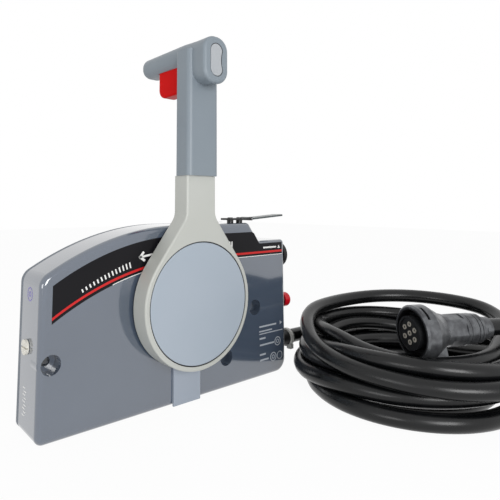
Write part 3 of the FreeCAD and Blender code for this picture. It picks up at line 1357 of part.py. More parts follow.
def harness():
    """Boot, tie, lead, coil with its top loop, and the tail to the connector."""
    height = "Sizes.harness_height"
    plug = cylinder("boot_plug", "Sizes.harness_radius", "Sizes.cover_wall + 4",
                    (f"{AFT} - Sizes.cover_wall - 4", LEVEL, height), "X")
    collar = cylinder("boot_flange", "Sizes.boot_radius + 1.4", 2.5, (AFT, LEVEL, height), "X")
    sleeve = cone("boot_sleeve", "Sizes.boot_radius", "Sizes.harness_radius + 0.1",
                  "Sizes.boot_length - 2.5", (f"{AFT} + 2.5", LEVEL, height), "X")
    inner = cylinder("boot_inner", "Sizes.harness_radius + 1.4", 1.6,
                     (f"{AFT} - Sizes.cover_wall - 1.6", LEVEL, height), "X")
    keep(fuse("boot_solid", [plug, collar, sleeve, inner]), "harness_boot")
    tube_along("harness_lead", lead_points, size.harness_radius)
    ring_solid = ring("coil_ring", "Sizes.coil_outer", "Sizes.coil_inner", "Sizes.coil_height",
                      ("Sizes.coil_along", "-Sizes.coil_out", "0"), "Z")
    soft = round_edges("coil_soft", ring_solid, size.coil_edge, lambda e: at_level(e, "z", 0)
                       or at_level(e, "z", size.coil_height))
    loop = doc.addObject("Part::Torus", "coil_loop")
    bind(loop, Radius1="Sizes.loop_radius", Radius2="Sizes.harness_radius")
    loop.Placement = Placement(Vector(), Rotation(Vector(0.66, -0.75, 0), size.loop_tilt))
    place(loop, ("Sizes.loop_along", "-Sizes.loop_out", "Sizes.loop_height"))
    keep(fuse("coil_solid", [soft, loop]), "harness_coil")
    tube_along("harness_tail", tail_points, size.harness_radius)


def cable_tie():
    """White tie round the boot's neck with its square head below."""
    at = (f"{AFT} + Sizes.boot_length - 8", LEVEL, "Sizes.harness_height")
    outer = cylinder("tie_outer", "Sizes.boot_radius + Sizes.tie_wall", "Sizes.tie_width", at, "X")
    head = block("tie_head", ("Sizes.tie_width + 1.4", 5, 4.5),
                 (f"{AFT} + Sizes.boot_length - 8.7", f"{LEVEL} - 7.5",
                  "Sizes.harness_height - Sizes.boot_radius - 2.6"))
    inner = cone("tie_inner", "Sizes.boot_radius", "Sizes.harness_radius + 0.1",
                 "Sizes.boot_length - 2.5", (f"{AFT} + 2.5", LEVEL, "Sizes.harness_height"), "X")
    return keep(cut("tie_cut", fuse("tie_solid", [outer, head]), [inner]), "cable_tie")


# Connector, built along Z from its face at the origin, up along Y, and then laid on the coil

def laid(obj):
    """Turn a connector piece from its own Z axis to its place on the coil."""
    way, up = plug_direction(), Vector(0, 0, 1)
    obj.Placement = Placement(plug_point(0), Rotation(up.cross(way), up, way, "ZXY"))
    return obj


def at_axis(name, radius, start, length):
    """Cylinder on the connector's own axis."""
    return cylinder(name, radius, length, ("0", "0", str(start)), "Z")


def turned_block(name, lengths, at, turn):
    """Block set against the connector's own axes and then turned about its axis."""
    obj = doc.addObject("Part::Box", name)
    for prop, value in zip(("Length", "Width", "Height"), lengths):
        obj.setExpression(prop, str(value))
    spin = Placement(Vector(), Rotation(Vector(0, 0, 1), turn))
    obj.Placement = spin.multiply(Placement(Vector(*at), Rotation()))
    return obj


COLLAR_BACK = "Sizes.collar_length + Sizes.collar_taper"
COLLAR_BEVEL = 1.4
MOUTH_DEPTH = 12.0
KEY_WIDTH = 9.0
KEY_TURN = 165.0
SLOT_LENGTH, SLOT_WIDTH = 13.0, 2.3
SLOT_TURNS = (33, 153, 273)
PLUG_FLATS = (15, 75, 135, 195, 255, 315)


def connector_collar():
    """Metal collar: bevelled mouth, long taper, key rib below and three slots."""
    outer = at_axis("collar_outer", "Sizes.collar_radius", COLLAR_BEVEL,
                    f"Sizes.collar_length - {COLLAR_BEVEL}")
    bevel = cone("collar_bevel", f"Sizes.collar_radius - {COLLAR_BEVEL}", "Sizes.collar_radius",
                 COLLAR_BEVEL, ("0", "0", "0"), "Z")
    taper = cone("collar_taper_cone", "Sizes.collar_radius", "Sizes.plug_body_radius",
                 "Sizes.collar_taper", ("0", "0", "Sizes.collar_length"), "Z")
    rib = turned_block("collar_key", (KEY_WIDTH, "Sizes.collar_key_reach", COLLAR_BACK),
                       (-KEY_WIDTH / 2, 0, 0), KEY_TURN)
    soft_rib = round_edges("collar_key_soft", rib, 2.2, lambda e: e.Length > size.collar_length
                           and along(e, Vector(0, 0, 1)) and e.CenterOfMass.Length > 22)
    room = at_axis("collar_room", "Sizes.collar_radius - Sizes.collar_wall", -1, MOUTH_DEPTH + 1)
    slots = [turned_block(f"collar_slot_{i}", (SLOT_LENGTH, 4, SLOT_WIDTH),
                          (-SLOT_LENGTH / 2, size.collar_radius - 3.2, 3.6), turn)
             for i, turn in enumerate(SLOT_TURNS)]
    solid = fuse("collar_solid", [outer, bevel, taper, soft_rib])
    keep(laid(cut("collar_cut", solid, [room, *slots])), "connector_collar")


def connector_insert():
    """Black insert: thin lining of the mouth and the raised disc that holds seven sockets."""
    lining = "Sizes.collar_radius - Sizes.collar_wall"
    sleeve = ring("insert_sleeve", lining, f"{lining} - Sizes.insert_lining", MOUTH_DEPTH,
                  ("0", "0", "0"), "Z")
    floor = at_axis("insert_floor", lining, MOUTH_DEPTH - 2.5, 2.5)
    disc = at_axis("insert_disc", "Sizes.insert_radius", "-Sizes.insert_proud",
                   f"{MOUTH_DEPTH} + Sizes.insert_proud - 1")
    recess = at_axis("insert_recess", "Sizes.insert_radius - 1.6", "-Sizes.insert_proud - 0.1", 1.1)
    holes, tubes = [], []
    for i in range(7):
        turn = math.radians(60 * i + 90)
        reach = 0 if i == 6 else size.socket_ring
        x, y = reach * math.cos(turn), reach * math.sin(turn)
        front = "-Sizes.insert_proud + 0.4"
        holes.append(cylinder(f"socket_hole_{i}", "Sizes.socket_radius + 0.05", MOUTH_DEPTH,
                              (x, y, "-Sizes.insert_proud"), "Z"))
        tube = cylinder(f"socket_tube_{i}", "Sizes.socket_radius", MOUTH_DEPTH - 1, (x, y, front), "Z")
        bore = cylinder(f"socket_bore_{i}", "Sizes.socket_radius - 0.9", 9, (x, y, front), "Z")
        tubes.append(cut(f"socket_{i}", tube, [bore]))
    solid = fuse("insert_solid", [sleeve, floor, disc])
    keep(laid(cut("insert_cut", solid, [recess, *holes])), "connector_insert")
    keep(laid(fuse("socket_set", tubes)), "connector_sockets")


def connector_body():
    """Straight body with six flats, and the ringed tail that grips the cable."""
    barrel = at_axis("plug_barrel", "Sizes.plug_body_radius", COLLAR_BACK, "Sizes.plug_body_length")
    flats = [turned_block(f"plug_flat_{i}", (11, 3, 14), (-5.5, size.plug_body_radius - 0.9,
             size.collar_length + size.collar_taper + 4), turn) for i, turn in enumerate(PLUG_FLATS)]
    keep(laid(cut("plug_body_cut", barrel, flats)), "connector_body")
    start = size.collar_length + size.collar_taper + size.plug_body_length
    core = cone("plug_tail", "Sizes.plug_body_radius - 1.7", "Sizes.harness_radius + 1.6",
                "Sizes.plug_tail_length", ("0", "0", str(start)), "Z")
    ribs = [at_axis(f"plug_rib_{i}", f"Sizes.plug_body_radius - {drop}", start + begin, length)
            for i, (drop, begin, length) in enumerate(((0.2, 0.6, 7.0), (0.6, 8.6, 2.6), (1.0, 12.2, 2.2)))]
    cuts = [turned_block(f"plug_tail_slot_{i}", (8, 3, 1.6), (-4, size.harness_radius + 1.9, start + 17.5),
                         turn) for i, turn in enumerate((90, 270))]
    keep(laid(cut("plug_tail_cut", fuse("plug_tail_solid", [core, *ribs]), cuts)), "connector_tail")


def check(obj):
    """Stop on a failed object."""
    bad = [state for state in obj.State if state in ("Invalid", "Error")]
    if bad:
        raise RuntimeError(f"{obj.Name} failed: {bad}")


def export():
    """Recompute, test every object and write one file for each sub-part."""
    doc.recompute()
    for obj in doc.Objects:
        check(obj)
    for obj in parts:
        if obj.Shape.isNull() or not obj.Shape.isValid():
            raise RuntimeError(f"{obj.Label} has no valid shape")
    os.makedirs("parts", exist_ok=True)
    for obj in parts:
        obj.Shape.exportStep(f"parts/{obj.Label}.step")


for build in (front_cover, back_plate, housing_screws, centre_strip, control_lever, rod_guide, hub_cap,
              main_shaft, shaft_fixings, grip, grip_end_plate, neutral_lock_trigger, lock_rod,
              lock_spring, lock_ring, bushes, drive_gear, toothed_levers, neutral_detent, friction_parts,
              key_switch, stop_switch, cable_grommets, fast_idle, harness, cable_tie, connector_collar,
              connector_insert, connector_body):
    build()
export()
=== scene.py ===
"""Looks of a side-mount throttle control: finishes, printed face, harness and studio."""

import logging
import math
from collections.abc import Callable, Sequence
from dataclasses import dataclass, field
from enum import Enum

import bmesh
import bpy
import numpy as np
from mathutils import Matrix, Vector


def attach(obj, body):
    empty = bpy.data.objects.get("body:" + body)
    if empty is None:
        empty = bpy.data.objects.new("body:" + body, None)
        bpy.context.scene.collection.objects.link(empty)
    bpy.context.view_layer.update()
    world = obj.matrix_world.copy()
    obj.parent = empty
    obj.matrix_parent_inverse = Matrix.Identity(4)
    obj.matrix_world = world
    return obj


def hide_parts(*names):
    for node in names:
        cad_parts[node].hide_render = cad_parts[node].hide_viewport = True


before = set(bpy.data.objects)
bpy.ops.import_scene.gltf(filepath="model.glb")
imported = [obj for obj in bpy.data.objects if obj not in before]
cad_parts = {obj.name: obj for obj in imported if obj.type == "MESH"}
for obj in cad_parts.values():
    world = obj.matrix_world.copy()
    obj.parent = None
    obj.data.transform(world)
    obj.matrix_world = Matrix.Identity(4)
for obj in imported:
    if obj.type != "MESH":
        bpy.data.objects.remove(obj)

log = logging.getLogger("throttle_control")

MM = 0.001
TINY = 1e-6

Colour = tuple[float, float, float, float]
Point = tuple[float, float, float]
Spot = tuple[float, float]
Edge = Callable[[float], float]


class Body(Enum):
    """Moving groups of the control that pieces ride on."""

    HOUSING = "housing"
    LEVER = "lever"
    NEUTRAL_LOCK = "neutral_lock"


def linear(code: str) -> Colour:
    """Turns an sRGB hex colour into linear light.

    Args:
        code: Colour such as "#8090a0".

    Returns:
        Red, green, blue and alpha from 0 to 1.
    """
    channels = [int(code[i:i + 2], 16) / 255 for i in (1, 3, 5)]
    red, green, blue = (c / 12.92 if c <= 0.04045 else ((c + 0.055) / 1.055) ** 2.4
                        for c in channels)
    return red, green, blue, 1.0


def add_node(tree: bpy.types.NodeTree, kind: str, inputs: dict[str | int, object] | None = None,
             **settings: object) -> bpy.types.Node:
    """Adds a shader node with its settings and links.

    Args:
        tree: Node tree that takes the node.
        kind: Blender's node type.
        inputs: Value or output socket for each named or numbered input.
        settings: Attributes of the node itself.

    Returns:
        The new node.
    """
    node = tree.nodes.new(kind)
    for name, value in settings.items():
        setattr(node, name, value)
    for name, value in (inputs or {}).items():
        if isinstance(value, bpy.types.NodeSocket):
            tree.links.new(value, node.inputs[name])
        else:
            node.inputs[name].default_value = value
    return node


@dataclass(frozen=True)
class Finish:
    """Surface of a moulded, painted or machined piece.

    The colour drifts slowly over the piece, the gloss is uneven, and a fine relief breaks
    highlights. The relief's grain is drawn coarser than the real one, so that it shows.
    """

    name: str
    colour: str
    shade: str
    roughness: float = 0.4
    gloss_drift: float = 0.06
    drift_mm: float = 70.0
    grain_mm: float = 1.0
    relief_mm: float = 0.004
    shader: dict[str, float] = field(default_factory=dict)

    @staticmethod
    def spread(tree: bpy.types.NodeTree, noise: bpy.types.NodeSocket, edge: float,
               low: float = 0.0, high: float = 1.0) -> bpy.types.NodeSocket:
        """Spreads the middle of a noise over a range.

        Args:
            tree: Node tree of the material.
            noise: Noise from 0 to 1.
            edge: Value of the noise that gives the low end. The high end lies as far from 1.
            low: Result at the low end.
            high: Result at the high end.

        Returns:
            The spread value.
        """
        return add_node(tree, "ShaderNodeMapRange",
                        {"Value": noise, "From Min": edge, "From Max": 1 - edge,
                         "To Min": low, "To Max": high}).outputs[0]

    def material(self) -> bpy.types.Material:
        """Builds the node material.

        Returns:
            A material that reads the object's own coordinates.
        """
        known = bpy.data.materials.get(self.name)
        if known:
            return known
        material = bpy.data.materials.new(self.name)
        material.use_nodes = True
        tree = material.node_tree
        tree.nodes.clear()
        place = add_node(tree, "ShaderNodeTexCoord").outputs["Object"]
        drift, grain = (add_node(tree, "ShaderNodeTexNoise",
                                 {"Vector": place, "Scale": 1 / (patch * MM),
                                  "Detail": detail}).outputs[0]
                        for patch, detail in ((self.drift_mm, 3.0), (self.grain_mm, 2.0)))
        colour = add_node(tree, "ShaderNodeMix",
                          {"Factor": self.spread(tree, drift, 0.35), 6: linear(self.colour),
                           7: linear(self.shade)}, data_type="RGBA").outputs[2]
        gloss = self.spread(tree, drift, 0.3, self.roughness - self.gloss_drift / 2,
                            self.roughness + self.gloss_drift / 2)
        bump = add_node(tree, "ShaderNodeBump",
                        {"Height": grain, "Distance": self.relief_mm * MM,
                         "Strength": 1.0}).outputs[0]
        surface = add_node(tree, "ShaderNodeBsdfPrincipled",
                           {"Base Color": colour, "Roughness": gloss, "Normal": bump,
                            **self.shader})
        add_node(tree, "ShaderNodeOutputMaterial", {"Surface": surface.outputs[0]})
        return material


# Lacquered ABS of the cover: deep slate whose coat mirrors the room, the hub and the harness.
COVER_ABS = Finish("cover_gloss_abs", "#4d5868", "#495464", roughness=0.1, gloss_drift=0.03,
                   grain_mm=2.6, relief_mm=0.0015,
                   shader={"IOR": 1.95, "Coat Weight": 1.0, "Coat Roughness": 0.03})
# The back plate is the same resin, duller where the mould was left plain.
PLATE_ABS = Finish("plate_satin_abs", "#636c77", "#5d6671", roughness=0.42, grain_mm=0.8,
                   relief_mm=0.008)
# Pale strip below the hub, unpainted satin resin.
STRIP_ABS = Finish("strip_satin_abs", "#a2aab6", "#9ca5b1", roughness=0.3, grain_mm=1.5)
# Baked paint on die cast aluminium: warm grey, slightly orange-peeled.
LEVER_PAINT = Finish("lever_baked_paint", "#babcb7", "#b6b8b2", roughness=0.38, grain_mm=1.6,
                     relief_mm=0.006, shader={"Coat Weight": 0.1, "Coat Roughness": 0.2})
# Fine-textured disc, blue-grey and even.
CAP_ABS = Finish("cap_satin_abs", "#a4aeb9", "#a0abb6", roughness=0.45, grain_mm=0.6,
                 relief_mm=0.006)
# Soft-touch moulding of the grip, faintly grained.
GRIP_NYLON = Finish("grip_grained_nylon", "#808a92", "#7c868f", roughness=0.4, grain_mm=0.5,
                    relief_mm=0.008)
# Blank plate in the grip's end: pale and evenly satin.
END_PLATE_NYLON = Finish("end_plate_nylon", "#a9adb1", "#a4a8ad", roughness=0.45, grain_mm=0.5,
                         relief_mm=0.008)
# Pigmented acetal of the trigger: a deep even red with hardly any glare.
TRIGGER_ACETAL = Finish("trigger_acetal", "#d60402", "#cc0302", roughness=0.33, grain_mm=1.2,
                        shader={"Specular IOR Level": 0.05})
# Acetal of the stop button: crimson with a small clear highlight.
BUTTON_ACETAL = Finish("button_acetal", "#cf1124", "#c60e20", roughness=0.25, grain_mm=1.2,
                       shader={"Specular IOR Level": 0.3})
# Natural acetal of bushes, rod guide and friction screw: waxy off-white.
BUSH_ACETAL = Finish("bush_acetal", "#e6e3da", "#dedbd0", roughness=0.45)
# Natural nylon of the cable tie: white with a soft gloss.
TIE_NYLON = Finish("tie_nylon", "#f2f2ee", "#e9e9e4", roughness=0.35)
# Filled nylon of nuts and barrels: matt black that swallows light. The same black paints the shade
# in the gap and bore linings.
BLACK_NYLON_AND_SHADE = Finish("black_nylon_and_painted_shade", "#101113", "#17181a", roughness=0.42, grain_mm=0.5,
                     relief_mm=0.01, shader={"Specular IOR Level": 0.35})
# Metal-filled nylon of the connector: pewter grey with darker patches.
CONNECTOR_NYLON = Finish("connector_filled_nylon", "#6a6c6f", "#4c4d50", roughness=0.32,
                         gloss_drift=0.12, drift_mm=6, grain_mm=0.5, relief_mm=0.02,
                         shader={"Metallic": 0.6})
# Vinyl sleeve: near black, with a sheen that is broader in some places than in others.
CABLE_VINYL = Finish("cable_soft_vinyl", "#070809", "#0b0c0e", roughness=0.27, gloss_drift=0.1,
                     drift_mm=22, grain_mm=0.9, relief_mm=0.01, shader={"Specular IOR Level": 0.38})
# Moulded rubber of the boot and grommets: dull charcoal.
BOOT_RUBBER = Finish("boot_rubber", "#17181a", "#202123", roughness=0.55, grain_mm=0.6,
                     relief_mm=0.02)
# Machined steel of the works: grey sheen whose grain is drawn coarser than tool marks to show.
TURNED_STEEL = Finish("turned_steel", "#b4b5b7", "#a2a3a6", roughness=0.3, grain_mm=0.35,
                      relief_mm=0.01, shader={"Metallic": 1.0})
# Zinc-plated fasteners: bright grey with cloudy patches.
ZINC_PLATE = Finish("zinc_plate", "#c9cac8", "#b7b9ba", roughness=0.27, drift_mm=6, grain_mm=0.5,
                    shader={"Metallic": 1.0})
# Nickel plate of the key switch and the polished ball: nearly a mirror.
BRIGHT_PLATE = Finish("bright_plate", "#dcdddf", "#d3d4d7", roughness=0.1, relief_mm=0.001,
                      shader={"Metallic": 1.0})
# Machined brass of the detent plug: warm and half bright.
MACHINED_BRASS = Finish("machined_brass", "#c9a15c", "#b98f4c", roughness=0.25, drift_mm=5,
                        shader={"Metallic": 1.0})
# Baked black paint of the bracket: even, with a soft gloss.
BLACK_PAINT = Finish("black_baked_paint", "#17181b", "#111214", roughness=0.32, grain_mm=0.8,
                     relief_mm=0.01)
# Dark zinc of the fast-idle blade and the housing screws.
DARK_ZINC = Finish("dark_zinc_plate", "#5f6566", "#53595a", roughness=0.3, drift_mm=6, grain_mm=0.5,
                   shader={"Metallic": 0.8})
# Solder-dipped contacts: dull and pale.
CONTACT_TIN = Finish("contact_tin", "#b9b4a9", "#a8a399", roughness=0.4, drift_mm=3, grain_mm=0.4,
                     shader={"Metallic": 0.3})
# Silk-screen inks lie in thin satin layers.
INK_BLACK = Finish("ink_black", "#0f0e12", "#131216", roughness=0.3, grain_mm=1.4, relief_mm=0.003,
                   shader={"Specular IOR Level": 0.18})
INK_RED = Finish("ink_red", "#cf2726", "#c62324", roughness=0.32,
                 shader={"Specular IOR Level": 0.25})
INK_WHITE = Finish("ink_white", "#f0f0ee", "#e6e6e4", roughness=0.4)
INK_VIOLET = Finish("ink_violet", "#8076ba", "#776db2", roughness=0.35)
INK_PALE = Finish("ink_pale", "#b4b9c0", "#aab0b8", roughness=0.4)

NODE_FINISHES: list[tuple[Finish, tuple[str, ...]]] = [
    (COVER_ABS, ("front_cover",)),
    (PLATE_ABS, ("back_plate",)),
    (STRIP_ABS, ("centre_strip",)),
    (LEVER_PAINT, ("control_lever",)),
    (CAP_ABS, ("hub_cap",)),
    (GRIP_NYLON, ("grip",)),
    (END_PLATE_NYLON, ("grip_end_plate",)),
    (TRIGGER_ACETAL, ("neutral_lock_trigger",)),
    (BUTTON_ACETAL, ("stop_button",)),
    (BUSH_ACETAL, ("front_bush", "rear_bush", "rod_guide", "friction_screw")),
    (TIE_NYLON, ("cable_tie",)),
    (BLACK_NYLON_AND_SHADE, ("detent_holder", "friction_shoe", "key_switch_nut", "stop_switch_barrel",
                   "stop_switch_nut", "connector_insert")),
    (CONNECTOR_NYLON, ("connector_collar", "connector_body", "connector_tail")),
    (CABLE_VINYL, ("harness_lead", "harness_coil", "harness_tail")),
    (BOOT_RUBBER, ("cable_grommets", "harness_boot")),
    (TURNED_STEEL, ("lock_ring", "detent_spring", "shift_stud", "throttle_stud", "fast_idle_pin",
                    "main_shaft", "gear_key", "shaft_retainer", "drive_gear", "lock_spring",
                    "lock_rod", "shift_lever", "throttle_lever")),
    (ZINC_PLATE, ("lever_washer", "lever_screw", "shift_cable_pin", "throttle_cable_pin")),
    (DARK_ZINC, ("fast_idle_lever", "housing_screws")),
    (BRIGHT_PLATE, ("detent_ball", "key_switch_barrel", "key_rotor")),
    (CONTACT_TIN, ("connector_sockets",)),
    (MACHINED_BRASS, ("detent_plug",)),
    (BLACK_PAINT, ("fast_idle_bracket", "bracket_screws")),
]


def dress_nodes() -> None:
    """Gives every solid of the frame its finish."""
    for finish, names in NODE_FINISHES:
        material = finish.material()
        for name in names:
            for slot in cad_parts[name].material_slots:
                slot.material = material
            log.info("%s in %s", name, finish.name)


def thicken(mesh: bmesh.types.BMesh, depth: float) -> None:
    """Gives flat faces a thickness along Y.

    Args:
        mesh: Flat faces in a plane of one Y.
        depth: How far the new side lies from the old one, in millimetres, along Y.
    """
    made = bmesh.ops.extrude_face_region(mesh, geom=mesh.faces[:], use_keep_orig=True)
    moved = [part for part in made["geom"] if isinstance(part, bmesh.types.BMVert)]
    bmesh.ops.translate(mesh, verts=moved, vec=(0, depth * MM, 0))


def add_piece(name: str, mesh: bmesh.types.BMesh, finish: Finish, body: Body) -> bpy.types.Object:
    """Makes an object of a finished mesh and lets it ride on a body.

    Args:
        name: Name of the piece.
        mesh: Its geometry, which is freed here.
        finish: Its surface.
        body: Body that carries it.

    Returns:
        The new object.
    """
    data = bpy.data.meshes.new(name)
    mesh.to_mesh(data)
    mesh.free()
    piece = bpy.data.objects.new(name, data)
    bpy.context.scene.collection.objects.link(piece)
    data.materials.append(finish.material())
    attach(piece, body.value)
    log.info("%s in %s", name, finish.name)
    return piece


@dataclass(frozen=True)
class Bar:
    """Straight mark, its middle, length and width in millimetres and its turn in degrees."""

    across: float
    up: float
    length: float
    width: float
    turn: float = 0.0


@dataclass(frozen=True)
class Ring:
    """Round mark with a clear middle, in millimetres."""

    across: float
    up: float
    outer: float
    inner: float


@dataclass(frozen=True)
class Wedge:
    """Three-cornered mark that points along its turn, in millimetres and degrees."""

    across: float
    up: float
    reach: float
    turn: float = 90.0


Mark = Bar | Ring | Wedge

# Two upright bars behind the hub, and a bar with a pointer on the step.
IDLE_SIGN: tuple[Mark, ...] = (
    Wedge(118.6, 124.6, 2.2), Bar(105.4, 125.0, 18.7, 1.6),
    Bar(51.0, 130.4, 1.4, 5.4), Bar(53.6, 130.4, 1.4, 5.4),
)
# Signs by the switches: bars over a line with a pointer, then two bars that end in rings.
SWITCH_SIGNS: tuple[Mark, ...] = (
    Wedge(120.0, 48.2, 2.1, 0), Bar(106.2, 41.0, 33.6, 0.9),
    Bar(101.5, 48.0, 24.0, 1.5), Bar(98.4, 43.5, 18.0, 1.2),
    Bar(100.0, 30.4, 20.0, 1.5), Ring(115.3, 30.6, 4.4, 3.5), Ring(115.3, 30.6, 2.0, 1.3),
    Bar(93.8, 36.6, 8.2, 1.6), Bar(96.2, 16.1, 12.0, 1.5), Ring(108.8, 16.5, 4.4, 3.5),
    Ring(108.8, 16.5, 2.0, 1.3), Ring(118.1, 16.4, 4.0, 3.2), Bar(94.0, 21.3, 8.0, 1.6),
)
# Staggered ticks low on the fore end, and a round sticker high on it.
END_TICKS: tuple[Mark, ...] = tuple(
    Bar(-4.0 if i % 2 else -6.0, 34.0 - 2.4 * i, 5.0, 0.8) for i in range(9))
END_STICKER: tuple[Mark, ...] = (Ring(-0.5, 102.0, 5.2, 4.3), Ring(-0.5, 102.0, 2.2, 1.2))


@dataclass
class Printing:
    """Silk-screen print on the front face and the fore end of the housing."""

    face: float = -21.0
    fore_end: float = -128.5
    ink: float = 0.1
    sunk: float = 0.03
    ring_sides: int = 32
    band_start: float = -119.8
    band_end: float = 123.2
    arch_across: float = -10.0
    arch_up: float = -65.8
    arch_inset_radius: float = 207.0
    deck_line: float = 141.2
    deck_end: float = 82.2
    step_start: float = 90.6
    step_line: float = 129.4
    foot_line: float = 117.1
    foot_radius: float = 225.0
    red_from: float = 2.6
    red_to: float = 4.6
    pale_start: float = -72.0
    pale_width: float = 0.6
    column: float = 2.5
    arrow_tip: float = -47.5
    arrow_above: float = 13.2
    arrow_dip: float = 176.0
    shaft_length: float = 12.0
    shaft_width: float = 1.7
    barb_length: float = 6.2
    barb_width: float = 2.0
    barb_turn: float = 42.0
    barb_shift: float = 2.4
    tick_count: int = 14
    tick_start: float = -97.0
    tick_step: float = 3.1
    tick_height: float = 2.6
    tick_growth: float = 0.16
    tick_above: float = 7.4
    tick_width: float = 1.15

    def top(self, across: float) -> float:
        """Height of the band's upper edge, which follows the arch, deck, slope and step.

        Args:
            across: Place along the face in millimetres.

        Returns:
            The height in millimetres.
        """
        if across < self.arch_across:
            run = across - self.arch_across
            return self.arch_up + math.sqrt(self.arch_inset_radius ** 2 - run ** 2)
        share = (across - self.deck_end) / (self.step_start - self.deck_end)
        return self.deck_line + (self.step_line - self.deck_line) * min(max(share, 0.0), 1.0)

    def foot(self, across: float) -> float:
        """Height of the band's lower edge, an arc that runs out level at the middle.

        Args:
            across: Place along the face in millimetres.

        Returns:
            The height in millimetres.
        """
        if across > 0:
            return self.foot_line
        return self.foot_line - self.foot_radius + math.sqrt(self.foot_radius ** 2 - across ** 2)

    def strip(self, name: str, finish: Finish, start: float, end: float,
              edges: tuple[Edge, Edge], layer: int) -> None:
        """Lays one printed strip between two edges of the face.

        Args:
            name: Name of the piece.
            finish: Its ink.
            start: Fore end in millimetres.
            end: Aft end in millimetres.
            edges: Heights of the lower and the upper edge for a place along the face.
            layer: Number of ink layers below this one.
        """
        low, high = edges
        mesh = bmesh.new()
        columns = round((end - start) / self.column)
        bmesh.ops.create_grid(mesh, x_segments=columns, y_segments=1, size=0.5)
        for vert in mesh.verts:
            across = start + (vert.co.x + 0.5) * (end - start)
            up = low(across) + (vert.co.y + 0.5) * (high(across) - low(across))
            vert.co = Vector((across, 0, up)) * MM
        self.lay(name, mesh, finish, layer, Matrix.Identity(4))

    def lay(self, name: str, mesh: bmesh.types.BMesh, finish: Finish, layer: int,
            place: Matrix) -> None:
        """Thickens flat marks drawn in the XZ plane and puts them on the housing.

        Args:
            name: Name of the piece.
            mesh: Flat marks around y = 0.
            finish: Their ink.
            layer: Number of ink layers below this one.
            place: Turn and shift from the front face to another one.
        """
        thicken(mesh, -(self.ink + self.sunk))
        sunk_to = self.face - self.ink * layer + self.sunk
        bmesh.ops.translate(mesh, verts=mesh.verts, vec=(0, sunk_to * MM, 0))
        bmesh.ops.transform(mesh, matrix=place, verts=mesh.verts)
        bmesh.ops.recalc_face_normals(mesh, faces=mesh.faces)
        add_piece(name, mesh, finish, Body.HOUSING)

    def draw(self, mesh: bmesh.types.BMesh, mark: Mark) -> None:
        """Adds one flat mark to a mesh in the XZ plane.

        Args:
            mesh: Mesh that takes the mark.
            mark: What to draw and where.
        """
        upright = Matrix.Rotation(math.radians(90), 4, "X")
        place = Matrix.Translation(Vector((mark.across, 0, mark.up)) * MM) @ upright
        if isinstance(mark, Ring):
            edges = []
            for radius in (mark.outer, mark.inner):
                made = bmesh.ops.create_circle(mesh, segments=self.ring_sides,
                                               radius=radius * MM, matrix=place)
                edges += list({edge for vert in made["verts"] for edge in vert.link_edges})
            bmesh.ops.bridge_loops(mesh, edges=edges)
            return
        turned = place @ Matrix.Rotation(math.radians(mark.turn), 4, "Z")
        if isinstance(mark, Wedge):
            bmesh.ops.create_circle(mesh, segments=3, radius=mark.reach * MM, cap_ends=True,
                                    matrix=turned @ Matrix.Rotation(math.radians(-90), 4, "Z"))
            return
        scaled = turned @ Matrix.Diagonal((mark.length * MM, mark.width * MM, 1, 1))
        bmesh.ops.create_grid(mesh, x_segments=1, y_segments=1, size=0.5, matrix=scaled)

    def marks(self, name: str, finish: Finish, marks: Sequence[Mark], layer: int = 0,
              place: Matrix | None = None) -> None:
        """Prints a group of marks as one piece.

        Args:
            name: Name of the piece.
            finish: Its ink.
            marks: What it shows.
            layer: Number of ink layers below this one.
            place: Turn and shift from the front face to another one.
        """
        mesh = bmesh.new()
        for mark in marks:
            self.draw(mesh, mark)
        self.lay(name, mesh, finish, layer, place or Matrix.Identity(4))

    def along_band(self, across: float, above_foot: float) -> tuple[float, float]:
        """Height and slope in degrees of a place above the band's lower edge."""
        slope = math.degrees(math.atan2(self.foot(across + 1) - self.foot(across - 1), 2))
        return self.foot(across) + above_foot, slope

    def throttle_scale(self) -> list[Mark]:
        """Row of rising ticks above the red line, as a plain scale.

        Returns:
            The ticks, from the fore end on.
        """
        ticks: list[Mark] = []
        for i in range(self.tick_count):
            across = self.tick_start + self.tick_step * i
            height = self.tick_height + self.tick_growth * i
            up, slope = self.along_band(across, self.tick_above + height / 2)
            ticks.append(Bar(across, up, height, self.tick_width, slope + 90))
        return ticks

    def arrow(self, across: float, up: float, turn: float) -> list[Mark]:
        """Arrow with an open head.

        Args:
            across: Place of its tip along the face in millimetres.
            up: Height of its tip in millimetres.
            turn: Way that it points in degrees.

        Returns:
            Its shaft and its two barbs.
        """
        towards = Vector((math.cos(math.radians(turn)), math.sin(math.radians(turn))))
        back = self.shaft_length / 2
        marks: list[Mark] = [Bar(across - back * towards.x, up - back * towards.y,
                                 self.shaft_length, self.shaft_width, turn)]
        for lean in (-self.barb_turn, self.barb_turn):
            angle = math.radians(turn + 180 + lean)
            marks.append(Bar(across + self.barb_shift * math.cos(angle),
                             up + self.barb_shift * math.sin(angle),
                             self.barb_length, self.barb_width, turn + lean))
        return marks

    def above_foot(self, height: float) -> Edge:
        """Edge that runs at one height above the band's lower edge."""
        return lambda across: self.foot(across) + height

